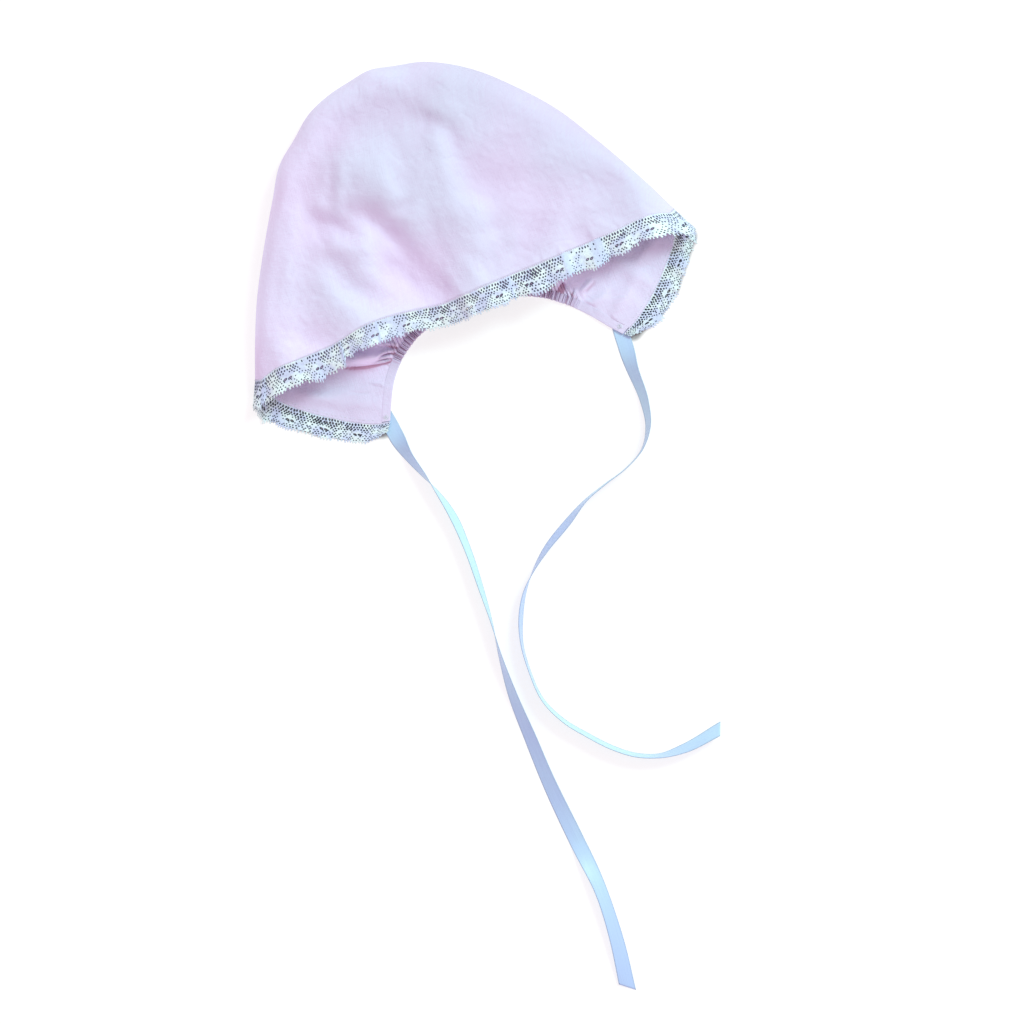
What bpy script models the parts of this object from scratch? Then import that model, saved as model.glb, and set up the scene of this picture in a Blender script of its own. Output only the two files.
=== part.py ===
"""Lace-trimmed baby bonnet lying flat, built as five closed bodies.

crown        one soft cloth: a top layer puffed up a little and an under layer on the surface,
             joined by a rounded fold that runs round the sides and the back
lace_trim    pierced lace band sewn edge to edge along the whole face edge
neck_casing  narrow shirred channel along the neck edge
tie_left, tie_right   flat ribbon ties lying loose on the surface

X runs left to right along the face edge, Y from the face edge to the back, Z up from the surface.
Tables are in millimetres from the middle of the face edge; the bodies are made in metres about
the middle of the bonnet's own base.
"""

import bpy
import numpy as np

# ------------------------------------------------------------------ driving sizes, millimetres
MM = 0.001
CENTRE = np.array([-1.0, 41.2])     # middle of the bonnet's plan box, in the tables' own axes
CLOTH = 1.2                         # cloth wall
LACE = 1.0                          # lace band
RIBBON = 1.0                        # ribbon tie
RIBBON_WIDTH = 7.0
TIE_CLEAR = 8.5                     # cloth is lifted fully this far round a ribbon's sewn end
TIE_EASE = 9.0                      # and comes back down over this length
FLATTEN = 0.06                      # anything this close to the surface lies on it
GAP = 0.3                           # clear space between neighbouring pieces
SEAM_GAP = 0.48                     # clear space along the seam of cloth and lace
CORNER_GAP = 1.7                    # extra share of that space where the seam turns over a side fold
CORNER_REACH = 3.5                  # how far along the seam that extra space fades

FOLD_RADIUS = 2.8                   # side folds
BACK_RADIUS = 3.6                   # fold at the back of the head
PUFF = 32.0                         # how far the top layer would swell
RISE = 32.0                         # length over which it swells, from the fold inward
FRONT_DROP = 0.66                   # share of the swelling lost at the face edge
FRONT_REACH = 38.0                  # how far back that loss reaches
FOLD_CLEAR = 14.0                   # small folds die out over this distance from the side fold
LACE_DROOP = 3.4                    # fall of the lace in front of the face edge
DROOP_REACH = 0.35                  # share of each half of the face edge over which that fall grows
TIE_SPLIT = 0.5                     # share of each half of the under layer's edge taken by the flaps

CASING = 4.3                        # width of the neck casing
CASING_HIGH = 2.3                   # its height where it is shirred
CASING_FLAT = 1.7                   # its height where it is plain
SHIRR_FROM, SHIRR_TO = 0.165, 0.845  # shirred part of the neck edge, as shares of its length
PLEATS = 48
PLEAT_DEPTH = 0.75
SHIRR_FADE = 0.03                   # share of its length over which the shirring starts and stops
TURN_IN = 0.15                      # extra clearance of the casing's inner edge from the cloth
END_BEND = 0.12                     # share of the neck edge over which its inner line bends to the flaps

REPEAT = 14.82                      # length of one lace repeat along the face edge
REPEATS = 21
FIRST_REPEAT = 6.8                  # plain end of the lace before the first repeat
SCALLOP = 0.05                      # depth of the scallops, as a share of the lace's width

CURVE_POINTS = 60                   # points per table row on which a curve's length is measured
FOLD_POINTS = 25                    # points on a soft fold's bent line
FOLD_ENDS = 0.35                    # share of a soft fold's height that is left at its two ends
DIRECTION_STEP = 0.004              # share of the neck edge over which its direction is taken

# ------------------------------------------------------------------ tables, millimetres
# outer line of the folded cloth, from the left corner round the back to the right corner
# columns: x, y
OUTLINE = [
    (-103.2, 6.0),
    (-97.4, 22.0),
    (-90.4, 39.0),
    (-80.6, 58.0),
    (-68.2, 79.5),
    (-60.0, 93.0),
    (-49.5, 102.0),
    (-40.0, 110.0),
    (-29.0, 114.9),
    (-18.0, 117.6),
    (-8.0, 119.4),
    (4.0, 117.3),
    (15.5, 115.0),
    (26.3, 110.2),
    (38.2, 102.4),
    (50.6, 91.0),
    (65.8, 74.0),
    (76.4, 57.4),
    (84.4, 43.8),
    (93.0, 28.0),
    (99.8, 14.3),
]

# forehead part of the face edge, left fold to right fold: cloth edge and the lace's free edge below it
# columns: cloth x, cloth y, lace x, lace y
FOREHEAD = [
    (-100.6, 5.2, -106.2, -6.6),
    (-92.5, 7.6, -95.0, -4.4),
    (-84.0, 8.0, -84.5, -3.4),
    (-72.0, 8.4, -72.5, -4.2),
    (-64.5, 8.9, -65.5, -3.3),
    (-57.5, 10.4, -59.5, 0.6),
    (-50.0, 11.9, -51.0, 1.6),
    (-38.0, 12.1, -39.0, 1.5),
    (-25.0, 10.8, -25.5, 0.6),
    (-13.0, 9.3, -13.0, -1.4),
    (0.0, 9.9, 0.5, -1.4),
    (20.0, 11.0, 20.0, -1.0),
    (38.0, 11.8, 38.0, -0.4),
    (50.0, 12.6, 50.5, 1.4),
    (59.0, 13.0, 59.0, 0.0),
    (70.0, 13.7, 70.0, 2.2),
    (84.0, 15.2, 85.0, 4.2),
    (91.0, 15.0, 94.5, 3.4),
    (97.3, 13.1, 104.3, 0.0),
]

# left flap of the face edge, left fold to left tie corner; columns as in FOREHEAD
LEFT_FLAP = [
    (-102.0, 3.4, -108.2, -9.4),
    (-98.0, -4.0, -106.0, -14.0),
    (-91.0, -11.2, -98.2, -19.2),
    (-80.0, -19.4, -85.6, -27.6),
    (-68.0, -26.7, -72.6, -35.6),
    (-59.0, -30.9, -62.6, -37.8),
    (-52.6, -32.2, -55.2, -36.0),
]

# right flap of the face edge, right fold to right tie corner; columns as in FOREHEAD
RIGHT_FLAP = [
    (98.8, 11.6, 105.8, -1.5),
    (95.2, 1.8, 102.4, -6.0),
    (87.6, -8.0, 94.8, -15.2),
    (78.6, -17.4, 86.4, -25.0),
    (68.6, -25.6, 74.6, -32.0),
    (59.6, -31.0, 62.4, -33.2),
]

# free edge of the neck casing, left tie corner over the nape to the right tie corner
# columns: x, y
NECK_EDGE = [
    (-52.6, -32.2),
    (-49.0, -23.6),
    (-44.4, -15.0),
    (-38.2, -7.8),
    (-29.0, -1.2),
    (-15.0, 3.6),
    (1.0, 4.8),
    (16.0, 2.8),
    (29.0, -2.0),
    (39.5, -9.2),
    (48.0, -17.6),
    (55.0, -26.0),
    (59.6, -31.0),
]

# soft folds of the top layer: a ridge or a hollow along a bent line through three points
# columns: x1, y1, x2, y2, x3, y3, half width, height
TOP_FOLDS = [
    (-32.0, 72.0, -22.0, 50.0, -6.0, 10.0, 6.0, -4.6),
    (-37.0, 58.0, -30.0, 38.0, -23.0, 14.0, 5.5, 2.4),
    (-56.0, 74.0, -48.0, 64.0, -38.0, 58.0, 5.5, -2.4),
    (-51.0, 57.0, -43.0, 47.0, -34.0, 38.0, 5.0, 2.0),
    (-53.0, 50.0, -47.0, 38.0, -42.0, 27.0, 5.0, -2.6),
    (-60.0, 36.0, -52.0, 26.0, -45.0, 16.0, 5.0, 1.8),
    (-66.0, 32.0, -63.0, 20.0, -60.0, 10.0, 5.5, -1.8),
    (9.0, 85.0, 12.0, 64.0, 25.0, 34.0, 6.0, 2.2),
    (1.0, 101.0, 12.0, 92.0, 25.0, 76.0, 7.0, -2.0),
    (-36.0, 100.0, -20.0, 99.0, -2.0, 102.0, 8.0, -1.6),
    (48.0, 68.0, 55.0, 50.0, 58.0, 30.0, 12.0, -1.4),
]

# soft folds of the under layer that run out of the gathers; columns as in TOP_FOLDS
UNDER_FOLDS = [
    (-66.0, 0.0, -56.0, -2.4, -45.0, -5.4, 4.5, 2.4),
    (-50.0, 22.0, -40.0, 10.0, -32.0, 4.0, 5.5, 2.2),
    (-28.0, 34.0, -22.0, 20.0, -17.0, 9.5, 5.5, 2.4),
    (-2.0, 38.0, -1.0, 24.0, 0.0, 11.0, 5.5, 2.2),
    (24.0, 34.0, 20.0, 20.0, 16.0, 9.5, 5.5, 2.4),
    (52.0, 16.0, 42.0, 6.0, 34.0, 1.0, 5.5, 2.4),
    (64.0, -3.0, 54.0, -6.0, 47.0, -9.0, 4.5, 1.6),
]

# path of each ribbon's middle line on the surface, from under the tie corner to its free end
# columns: x, y, roll in degrees (0 lies flat, 90 stands on its edge)
LEFT_TIE = [
    (-54.4, -26.4, 0.0),
    (-53.0, -33.6, 0.0),
    (-52.6, -36.6, 3.0),
    (-50.6, -47.9, 50.0),
    (-46.3, -60.6, 78.0),
    (-44.0, -67.4, 97.0),
    (-40.6, -81.0, 117.0),
    (-39.4, -97.2, 114.0),
    (-39.7, -116.0, 108.0),
    (-40.4, -131.9, 96.0),
    (-41.9, -148.0, 79.0),
    (-42.6, -166.5, 56.0),
    (-41.7, -187.4, 40.0),
    (-40.8, -206.8, 31.0),
    (-37.9, -236.8, 2.0),
    (-35.3, -262.0, -36.0),
    (-36.1, -286.0, -28.0),
    (-38.8, -307.6, -6.0),
]
RIGHT_TIE = [
    (59.3, -23.6, 0.0),
    (58.7, -31.6, 0.0),
    (58.6, -34.6, 3.0),
    (57.9, -45.9, 40.0),
    (58.0, -62.3, 60.0),
    (55.9, -73.0, 73.0),
    (50.0, -82.0, 86.0),
    (40.1, -87.8, 89.0),
    (28.7, -91.4, 87.0),
    (18.2, -95.2, 82.0),
    (7.1, -101.7, 66.0),
    (-7.3, -110.6, 72.0),
    (-14.4, -116.6, 85.0),
    (-21.8, -124.8, 100.0),
    (-27.4, -135.1, 105.0),
    (-30.8, -145.8, 99.0),
    (-31.8, -158.5, 97.0),
    (-30.4, -173.8, 108.0),
    (-25.0, -185.0, 118.0),
    (-17.1, -194.8, 127.0),
    (-8.6, -203.8, 128.0),
    (0.2, -210.5, 124.0),
    (10.2, -214.5, 122.0),
    (21.4, -215.2, 128.0),
    (40.0, -212.4, 138.0),
]

# one lace repeat: where its columns of cells start and its rows end, as shares of length and width
LACE_COLUMNS = [0.15, 0.365, 0.465, 0.535, 0.635, 0.85]
LACE_ROWS = [0.0, 0.13, 0.27, 0.53, 0.67, 1.0]
# pierced cells; columns: column, row
LACE_HOLES = [(1, 3), (3, 3), (5, 1)]


# ------------------------------------------------------------------ small tools
def through(table):
    """Smooth curve through a table's rows. Each column is a cubic piece between rows, with slopes
    taken across the neighbouring rows; the first two columns are the place in plan.
    Returns a function of the share of the plan length."""
    rows = np.array(table, float)
    step = np.hypot(*np.diff(rows[:, :2], axis=0).T)
    knots = np.concatenate([[0.0], np.cumsum(step)])
    slope = np.gradient(rows, knots, axis=0)
    fine = np.linspace(0.0, knots[-1], CURVE_POINTS * len(rows))
    piece = np.clip(np.searchsorted(knots, fine, side="right") - 1, 0, len(step) - 1)
    size = step[piece][:, None]
    u = ((fine - knots[piece]) / step[piece])[:, None]
    values = ((1 + 2 * u) * (1 - u) ** 2 * rows[piece] + u * (1 - u) ** 2 * size * slope[piece]
              + u * u * (3 - 2 * u) * rows[piece + 1] + u * u * (u - 1) * size * slope[piece + 1])
    run = np.concatenate([[0.0], np.cumsum(np.hypot(*np.diff(values[:, :2], axis=0).T))])

    def at(share):
        place = np.asarray(share, float) * run[-1]
        return np.stack([np.interp(place, run, column) for column in values.T], axis=-1)

    at.length = run[-1]
    return at


def ease(x):
    """Smooth step from 0 to 1."""
    x = np.clip(x, 0.0, 1.0)
    return x * x * (3 - 2 * x)


def fold_height(x, y, folds):
    """Sum of the folds at plan places: each is a bell across its bent line, faded at its two ends."""
    total = np.zeros(np.shape(x))
    for x1, y1, x2, y2, x3, y3, half, high in folds:
        share = np.linspace(0.0, 1.0, FOLD_POINTS)
        side = [(1 - share) ** 2, 2 * share * (1 - share), share ** 2]
        bend_x = 2 * x2 - 0.5 * (x1 + x3)
        bend_y = 2 * y2 - 0.5 * (y1 + y3)
        path_x = side[0] * x1 + side[1] * bend_x + side[2] * x3
        path_y = side[0] * y1 + side[1] * bend_y + side[2] * y3
        away = np.hypot(np.asarray(x)[..., None] - path_x, np.asarray(y)[..., None] - path_y)
        nearest = np.argmin(away, axis=-1)
        along = share[nearest]
        fade = FOLD_ENDS + (1 - FOLD_ENDS) * np.sin(np.pi * along)
        total += high * fade * np.exp(-(np.min(away, axis=-1) / half) ** 2)
    return total


def over_ties(x, y):
    """Lift of the tie corners where they lie over the sewn ends of the ribbons."""
    lift = np.zeros(np.shape(x))
    for tie in (LEFT_TIE, RIGHT_TIE):
        start, corner = np.array(tie[0][:2]), np.array(tie[1][:2])
        along = corner + (corner - start) * 0.5 - start
        share = ((x - start[0]) * along[0] + (y - start[1]) * along[1]) / (along @ along)
        share = np.clip(share, 0.0, 1.0)
        away = np.hypot(x - start[0] - share * along[0], y - start[1] - share * along[1])
        lift = np.maximum(lift, (RIBBON + GAP) * (1 - ease((away - TIE_CLEAR) / TIE_EASE)))
    return lift


def surface_normals(grid):
    """Unit normals of a grid of points from its two families of grid lines."""
    across = np.gradient(grid, axis=0)
    down = np.gradient(grid, axis=1)
    normal = np.cross(across, down)
    return normal / np.linalg.norm(normal, axis=-1, keepdims=True)


def slab(grid, thick, keep=None):
    """Closed body: the grid moved half the thickness each way along its normals, with walls round
    its border and round every cell left out."""
    count, rows = grid.shape[:2]
    if keep is None:
        keep = np.ones((count - 1, rows - 1), bool)
    normal = surface_normals(grid)
    upper = grid + normal * thick / 2
    lower = grid - normal * thick / 2
    points = np.concatenate([upper.reshape(-1, 3), lower.reshape(-1, 3)])
    points[:, 2] = np.where(points[:, 2] < FLATTEN, 0.0, points[:, 2])
    number = np.arange(count * rows).reshape(count, rows)
    under = number + count * rows
    faces = []
    for i in range(count - 1):
        for j in range(rows - 1):
            if not keep[i, j]:
                continue
            a, b = number[i, j], number[i + 1, j]
            c, d = number[i + 1, j + 1], number[i, j + 1]
            e, f = under[i, j], under[i + 1, j]
            g, h = under[i + 1, j + 1], under[i, j + 1]
            faces += [(a, b, c, d), (h, g, f, e)]
            if j == 0 or not keep[i, j - 1]:
                faces.append((b, a, e, f))
            if i == count - 2 or not keep[i + 1, j]:
                faces.append((c, b, f, g))
            if j == rows - 2 or not keep[i, j + 1]:
                faces.append((d, c, g, h))
            if i == 0 or not keep[i - 1, j]:
                faces.append((a, d, h, e))
    return points, faces


def body(name, points, faces, colour, roughness):
    """Mesh object in metres about the middle of the base, with its own material."""
    places = (np.asarray(points) - np.array([CENTRE[0], CENTRE[1], 0.0])) * MM
    used = sorted({corner for face in faces for corner in face})
    renumber = {old: new for new, old in enumerate(used)}
    mesh = bpy.data.meshes.new(name)
    mesh.from_pydata([tuple(places[i]) for i in used], [],
                     [tuple(renumber[i] for i in face) for face in faces])
    mesh.update()
    mesh.polygons.foreach_set("use_smooth", [True] * len(mesh.polygons))
    material = bpy.data.materials.new(name)
    material.use_nodes = True
    shader = material.node_tree.nodes["Principled BSDF"]
    shader.inputs["Base Color"].default_value = (*colour, 1.0)
    shader.inputs["Roughness"].default_value = roughness
    shader.inputs["Metallic"].default_value = 0.0
    mesh.materials.append(material)
    thing = bpy.data.objects.new(name, mesh)
    bpy.context.scene.collection.objects.link(thing)
    return thing


# ------------------------------------------------------------------ lines the cloth hangs on
outline = through(OUTLINE)
forehead = through(FOREHEAD)
left_flap = through(LEFT_FLAP)
right_flap = through(RIGHT_FLAP)
neck_edge = through(NECK_EDGE)

LEFT_STOP = 1.0 - (CASING + GAP) / left_flap.length
RIGHT_STOP = 1.0 - (CASING + GAP) / right_flap.length


def casing_inner(share, inset):
    """Line inside the neck edge by the inset, bent at its ends to meet the two flaps."""
    def beside(share):
        after = neck_edge(np.clip(share + DIRECTION_STEP, 0, 1))
        ahead = after - neck_edge(np.clip(share - DIRECTION_STEP, 0, 1))
        ahead /= np.linalg.norm(ahead, axis=-1, keepdims=True)
        return neck_edge(share) + inset * np.stack([-ahead[..., 1], ahead[..., 0]], axis=-1)

    share = np.asarray(share, float)
    left_move = left_flap(1.0 - inset / left_flap.length)[:2] - beside(np.array(0.0))
    right_move = right_flap(1.0 - inset / right_flap.length)[:2] - beside(np.array(1.0))
    near_left = (1 - ease(share / END_BEND))[..., None]
    near_right = (1 - ease((1 - share) / END_BEND))[..., None]
    return beside(share) + near_left * left_move + near_right * right_move


def lower_edge(s):
    """Edge of the under layer in plan for s from -1 (left fold) to 1 (right fold)."""
    s = np.asarray(s, float)
    left = left_flap(np.clip((s + 1) / (1 - TIE_SPLIT), 0, 1) * LEFT_STOP)[..., :2]
    right = right_flap(np.clip((1 - s) / (1 - TIE_SPLIT), 0, 1) * RIGHT_STOP)[..., :2]
    middle = casing_inner(np.clip((s + TIE_SPLIT) / (2 * TIE_SPLIT), 0, 1), CASING + GAP)
    place = s[..., None]
    return np.where(place < -TIE_SPLIT, left, np.where(place > TIE_SPLIT, right, middle))


def crown_surface(s, q):
    """Middle surface of the cloth. s runs left to right; q runs from the edge of the under layer (-1)
    round the fold (0) to the face edge of the top layer (1)."""
    s, q = np.broadcast_arrays(s, q)
    share = (1 + s) / 2
    rim = outline(share)
    inner = np.where((q > 0)[..., None], forehead(share)[..., :2], lower_edge(s))
    span = np.hypot(*np.moveaxis(inner - rim, -1, 0))
    radius = FOLD_RADIUS + (BACK_RADIUS - FOLD_RADIUS) * (1 - s * s)
    radius = np.minimum(radius, span)
    bend = np.clip(np.pi / 2 * radius / (np.pi / 2 * radius + span - radius), 0.2, 1.0)
    turn = np.pi / 2 * np.clip(np.abs(q) / bend, 0.0, 1.0)
    rest = np.where(bend < 1, (np.abs(q) - bend) / np.maximum(1 - bend, 1e-6), 0.0)
    away = radius * (1 - np.cos(turn)) + (span - radius) * np.clip(rest, 0.0, 1.0)
    plan = rim + (inner - rim) * (away / span)[..., None]
    x, y = plan[..., 0], plan[..., 1]

    swell = PUFF * (1 - np.exp(-away / RISE))
    swell = swell * (1 - FRONT_DROP * np.exp(-((span - away) / FRONT_REACH) ** 2))
    settle = ease(away / FOLD_CLEAR)
    top = radius + radius * np.sin(turn) + swell + settle * fold_height(x, y, TOP_FOLDS)
    lying = CLOTH / 2 + over_ties(x, y) + settle * fold_height(x, y, UNDER_FOLDS)
    low = radius + (lying - radius) * np.sin(turn)
    return np.stack([x, y, np.where(q > 0, top, low)], axis=-1)


S_GRID = np.concatenate([
    np.linspace(-1.0, -TIE_SPLIT, 10),
    np.linspace(-TIE_SPLIT, TIE_SPLIT, 29)[1:],
    np.linspace(TIE_SPLIT, 1.0, 10)[1:],
])
Q_GRID = np.concatenate([
    np.linspace(-1.0, -0.2, 9),
    [-0.13, -0.065, 0.0, 0.065, 0.13],
    np.linspace(0.2, 1.0, 16),
])
CROWN = crown_surface(S_GRID[:, None], Q_GRID[None, :])


def along_rows(where, at, rows):
    """Straight-line reading of a row of points between its grid values."""
    return np.stack([np.interp(where, at, column) for column in rows.T], axis=-1)


FLAP_ROWS, ARC_ROWS, TOP_ROWS = 28, 13, 120
# rows of the face edge where it turns over the two side folds
FOLD_ROWS = [
    FLAP_ROWS + 1,
    FLAP_ROWS + ARC_ROWS,
    FLAP_ROWS + ARC_ROWS + TOP_ROWS - 1,
    FLAP_ROWS + 2 * ARC_ROWS + TOP_ROWS - 2,
]


def face_edge(flap, arc, top):
    """Cloth edge and free edge of the lace, all along the face edge from the left tie corner to the
    right one: six columns, the cloth edge first. The cloth edge is read off the crown itself."""
    def flap_rows(line, stop, side):
        share = np.concatenate([np.linspace(0.0, stop, flap), [0.5 * (stop + 1.0), 1.0]])
        row = line(share)
        s = side * (1 - (1 - TIE_SPLIT) * np.minimum(share / stop, 1.0))
        cloth = along_rows(s, S_GRID, CROWN[:, 0])
        past = (share > stop)[:, None]
        plain = np.column_stack([row[:, :2], cloth[:, 2]])
        cloth = np.where(past, plain, cloth)
        free_high = LACE / 2 + over_ties(row[:, 2], row[:, 3])
        return np.column_stack([cloth, row[:, 2:], free_high])

    def corner_rows(edge, table_row, start):
        q = np.linspace(start, -start, arc)[1:-1]
        turn = along_rows(q, Q_GRID, edge)
        lead = np.array(table_row[2:]) - np.array(table_row[:2])
        return np.column_stack([turn, turn[:, :2] + lead, turn[:, 2]])

    s = np.linspace(-1.0, 1.0, top)
    high = along_rows(s, S_GRID, CROWN[:, -1])
    droop = LACE_DROOP * ease((1 - np.abs(s)) / DROOP_REACH)
    front = np.column_stack([high, forehead((1 + s) / 2)[:, 2:], high[:, 2] - droop])
    return np.concatenate([
        flap_rows(left_flap, LEFT_STOP, -1.0)[::-1],
        corner_rows(CROWN[0], FOREHEAD[0], -1.0),
        front,
        corner_rows(CROWN[-1], FOREHEAD[-1], 1.0),
        flap_rows(right_flap, RIGHT_STOP, 1.0),
    ])


# ------------------------------------------------------------------ the five bodies
def make_crown():
    points, faces = slab(CROWN, CLOTH)
    return body("crown", points, faces, (0.86, 0.80, 0.90), 0.85)


def make_lace():
    line = face_edge(FLAP_ROWS, ARC_ROWS, TOP_ROWS)
    run = np.concatenate([[0.0], np.cumsum(np.linalg.norm(np.diff(line[:, :3], axis=0), axis=1))])
    columns = np.array(LACE_COLUMNS)
    count = np.concatenate([columns + k for k in range(REPEATS)] + [[REPEATS + columns[0]]])
    place = FIRST_REPEAT + REPEAT * count
    start, end = np.linspace(0.0, place[0], 3)[:-1], np.linspace(place[-1], run[-1], 4)[1:]
    place = np.concatenate([start, place, end])
    for corner in FOLD_ROWS:
        place[np.argmin(np.abs(place - run[corner]))] = run[corner]
    row = along_rows(place, run, line)
    cloth_side, free_side = row[:, :3], row[:, 3:]
    ahead = np.gradient(cloth_side, axis=0)
    ahead /= np.linalg.norm(ahead, axis=1, keepdims=True)
    lead = free_side - cloth_side
    lead /= np.linalg.norm(lead, axis=1, keepdims=True)
    squareness = np.linalg.norm(np.cross(ahead, lead), axis=1)
    near = np.zeros(len(place))
    for corner in (FOLD_ROWS[0], FOLD_ROWS[3]):
        near = np.maximum(near, np.exp(-((place - run[corner]) / CORNER_REACH) ** 2))
    clear = SEAM_GAP * (1 + CORNER_GAP * near) / squareness
    cloth_side = cloth_side + lead * clear[:, None]
    reach = SCALLOP * (1 + np.cos(2 * np.pi * (place - FIRST_REPEAT) / REPEAT))
    down = np.array(LACE_ROWS)
    across = down[None, :] - reach[:, None] * ease((down[None, :] - LACE_ROWS[-2]) / (1 - LACE_ROWS[-2]))
    grid = cloth_side[:, None, :] + (free_side - cloth_side)[:, None, :] * across[..., None]
    keep = np.ones((len(place) - 1, len(down) - 1), bool)
    for k in range(REPEATS):
        for column, level in LACE_HOLES:
            keep[len(start) + k * len(LACE_COLUMNS) + column, level] = False
    points, faces = slab(grid[::-1], LACE, keep[::-1])
    return body("lace_trim", points, faces, (0.90, 0.92, 0.96), 0.8)


def make_casing():
    plain = 7
    share = np.concatenate([
        np.linspace(0.0, SHIRR_FROM, plain + 1)[:-1],
        np.linspace(SHIRR_FROM, SHIRR_TO, 2 * PLEATS + 1),
        np.linspace(SHIRR_TO, 1.0, plain + 1)[1:],
    ])
    clear = 2 * GAP / neck_edge.length
    share = clear + share * (1 - 2 * clear)
    edge = neck_edge(share)
    inner = casing_inner(share, CASING - TURN_IN)
    gathered = ease((share - SHIRR_FROM) / SHIRR_FADE) * ease((SHIRR_TO - share) / SHIRR_FADE)
    fold = np.where(np.arange(len(share)) % 2 == plain % 2, 1.0, 0.0) * gathered
    high = CASING_FLAT + (CASING_HIGH - CASING_FLAT) * gathered - PLEAT_DEPTH * fold
    middle = 0.5 * (edge + inner)
    lift = over_ties(middle[:, 0], middle[:, 1])
    # cross-section round the channel: share of the width from the free edge, share of the height
    section = [(0.0, 0.12), (0.05, 0.7), (0.3, 1.0), (0.75, 1.0),
               (1.0, 0.62), (1.0, 0.12), (0.9, 0.0), (0.12, 0.0)]
    rings = []
    for across, up in section:
        plan = edge + (inner - edge) * across
        rings.append(np.column_stack([plan, lift + up * high]))
    rings = np.stack(rings, axis=1)
    count, around = rings.shape[:2]
    faces = []
    for i in range(count - 1):
        for j in range(around):
            k = (j + 1) % around
            faces.append((i * around + j, (i + 1) * around + j, (i + 1) * around + k, i * around + k))
    faces.append(tuple(range(around)))
    faces.append(tuple((count - 1) * around + j for j in range(around))[::-1])
    return body("neck_casing", rings.reshape(-1, 3), faces, (0.84, 0.78, 0.88), 0.85)


def make_tie(name, table):
    path = through(table)
    count = 56
    row = path(np.linspace(0.0, 1.0, count))
    plan, roll = row[:, :2], np.radians(row[:, 2])
    ahead = np.gradient(plan, axis=0)
    ahead /= np.linalg.norm(ahead, axis=1, keepdims=True)
    side = np.stack([-ahead[:, 1], ahead[:, 0], np.zeros(count)], axis=1)
    up = np.array([0.0, 0.0, 1.0])
    across = side * np.cos(roll)[:, None] + up * np.sin(roll)[:, None]
    face = -side * np.sin(roll)[:, None] + up * np.cos(roll)[:, None]
    high = RIBBON_WIDTH / 2 * np.abs(np.sin(roll)) + RIBBON / 2 * np.abs(np.cos(roll))
    middle = np.column_stack([plan, high])
    rings = np.stack([middle + across * RIBBON_WIDTH / 2 * a + face * RIBBON / 2 * b
                      for a, b in ((1, 1), (1, -1), (-1, -1), (-1, 1))], axis=1)
    rings[..., 2] = np.maximum(rings[..., 2], 0.0)
    faces = []
    for i in range(count - 1):
        for j in range(4):
            k = (j + 1) % 4
            faces.append((i * 4 + j, (i + 1) * 4 + j, (i + 1) * 4 + k, i * 4 + k))
    faces.append((0, 1, 2, 3))
    faces.append(tuple((count - 1) * 4 + j for j in range(4))[::-1])
    return body(name, rings.reshape(-1, 3), faces, (0.72, 0.82, 0.92), 0.35)


for old in list(bpy.data.objects):
    bpy.data.objects.remove(old)

make_crown()
make_lace()
make_casing()
make_tie("tie_left", LEFT_TIE)
make_tie("tie_right", RIGHT_TIE)
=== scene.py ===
"""Looks of a lace-trimmed baby bonnet that lies flat with its two satin ties loose.

Shapes are worked out in millimetres from the middle of the face edge, the way the bonnet would be
cut and sewn, and are then placed in metres about the middle of its base.
"""
import math

import bpy
import numpy as np
from mathutils import Matrix, Vector


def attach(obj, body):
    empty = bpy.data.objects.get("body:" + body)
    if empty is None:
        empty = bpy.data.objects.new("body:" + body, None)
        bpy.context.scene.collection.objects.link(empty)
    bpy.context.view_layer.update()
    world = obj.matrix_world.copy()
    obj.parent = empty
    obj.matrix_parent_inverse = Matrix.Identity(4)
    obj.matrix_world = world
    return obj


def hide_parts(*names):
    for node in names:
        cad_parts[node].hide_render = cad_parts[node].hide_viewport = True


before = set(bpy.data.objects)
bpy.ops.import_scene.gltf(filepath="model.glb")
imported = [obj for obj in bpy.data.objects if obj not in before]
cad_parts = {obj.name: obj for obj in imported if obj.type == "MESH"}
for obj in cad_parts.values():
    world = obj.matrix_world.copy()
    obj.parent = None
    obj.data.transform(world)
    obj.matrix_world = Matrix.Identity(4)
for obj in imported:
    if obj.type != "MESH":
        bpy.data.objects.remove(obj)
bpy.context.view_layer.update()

# ------------------------------------------------------------------ sizes, millimetres
MM = 0.001
CENTRE = np.array([-1.0, 41.2])     # middle of the bonnet's plan, in the tables' own axes
TURN = 2 * np.pi

CLOTH = 0.5                         # thickness of the cotton
FOLD_RADIUS = 2.8                   # roundness of the fold at the two sides, and at the back
BACK_RADIUS = 3.6
SWELL = ((10.0, 3.6), (13.5, 28.0))  # rises of the top layer inside the fold: height, over what length
FOLD_GAIN = 1.25                    # height of the top layer's folds, against their table
FRONT_DROP = 0.46                   # share of the swell that is gone at the face edge, and how far in
FRONT_REACH = 44.0
TOP_UNEVEN = ((0.19, 5, 18.0, 5.0), (0.065, 6, 5.0, 2.2))   # height, seed, longest and shortest wave
UNDER_UNEVEN = (0.12, 8, 30.0, 10.0)
LAP = 0.24                          # where the top panel ends under the fold, as a share of the way in
FOLD_CLEAR = 14.0                   # how far inside the outline the folds have their full height
TIE_SPLIT = 0.5                     # the tie corners' place in s, from 0 in the middle to 1 at a fold
LACE_DROOP = 3.4                    # fall of the front lace, full beyond this share of s from a fold
DROOP_REACH = 0.35
TIE_LIFT = 0.75                     # lift of the tie corners over the ribbons' sewn ends
TIE_CLEAR = 8.5                     # how far from a ribbon the lift is full, and over what it fades
TIE_EASE = 9.0

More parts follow.
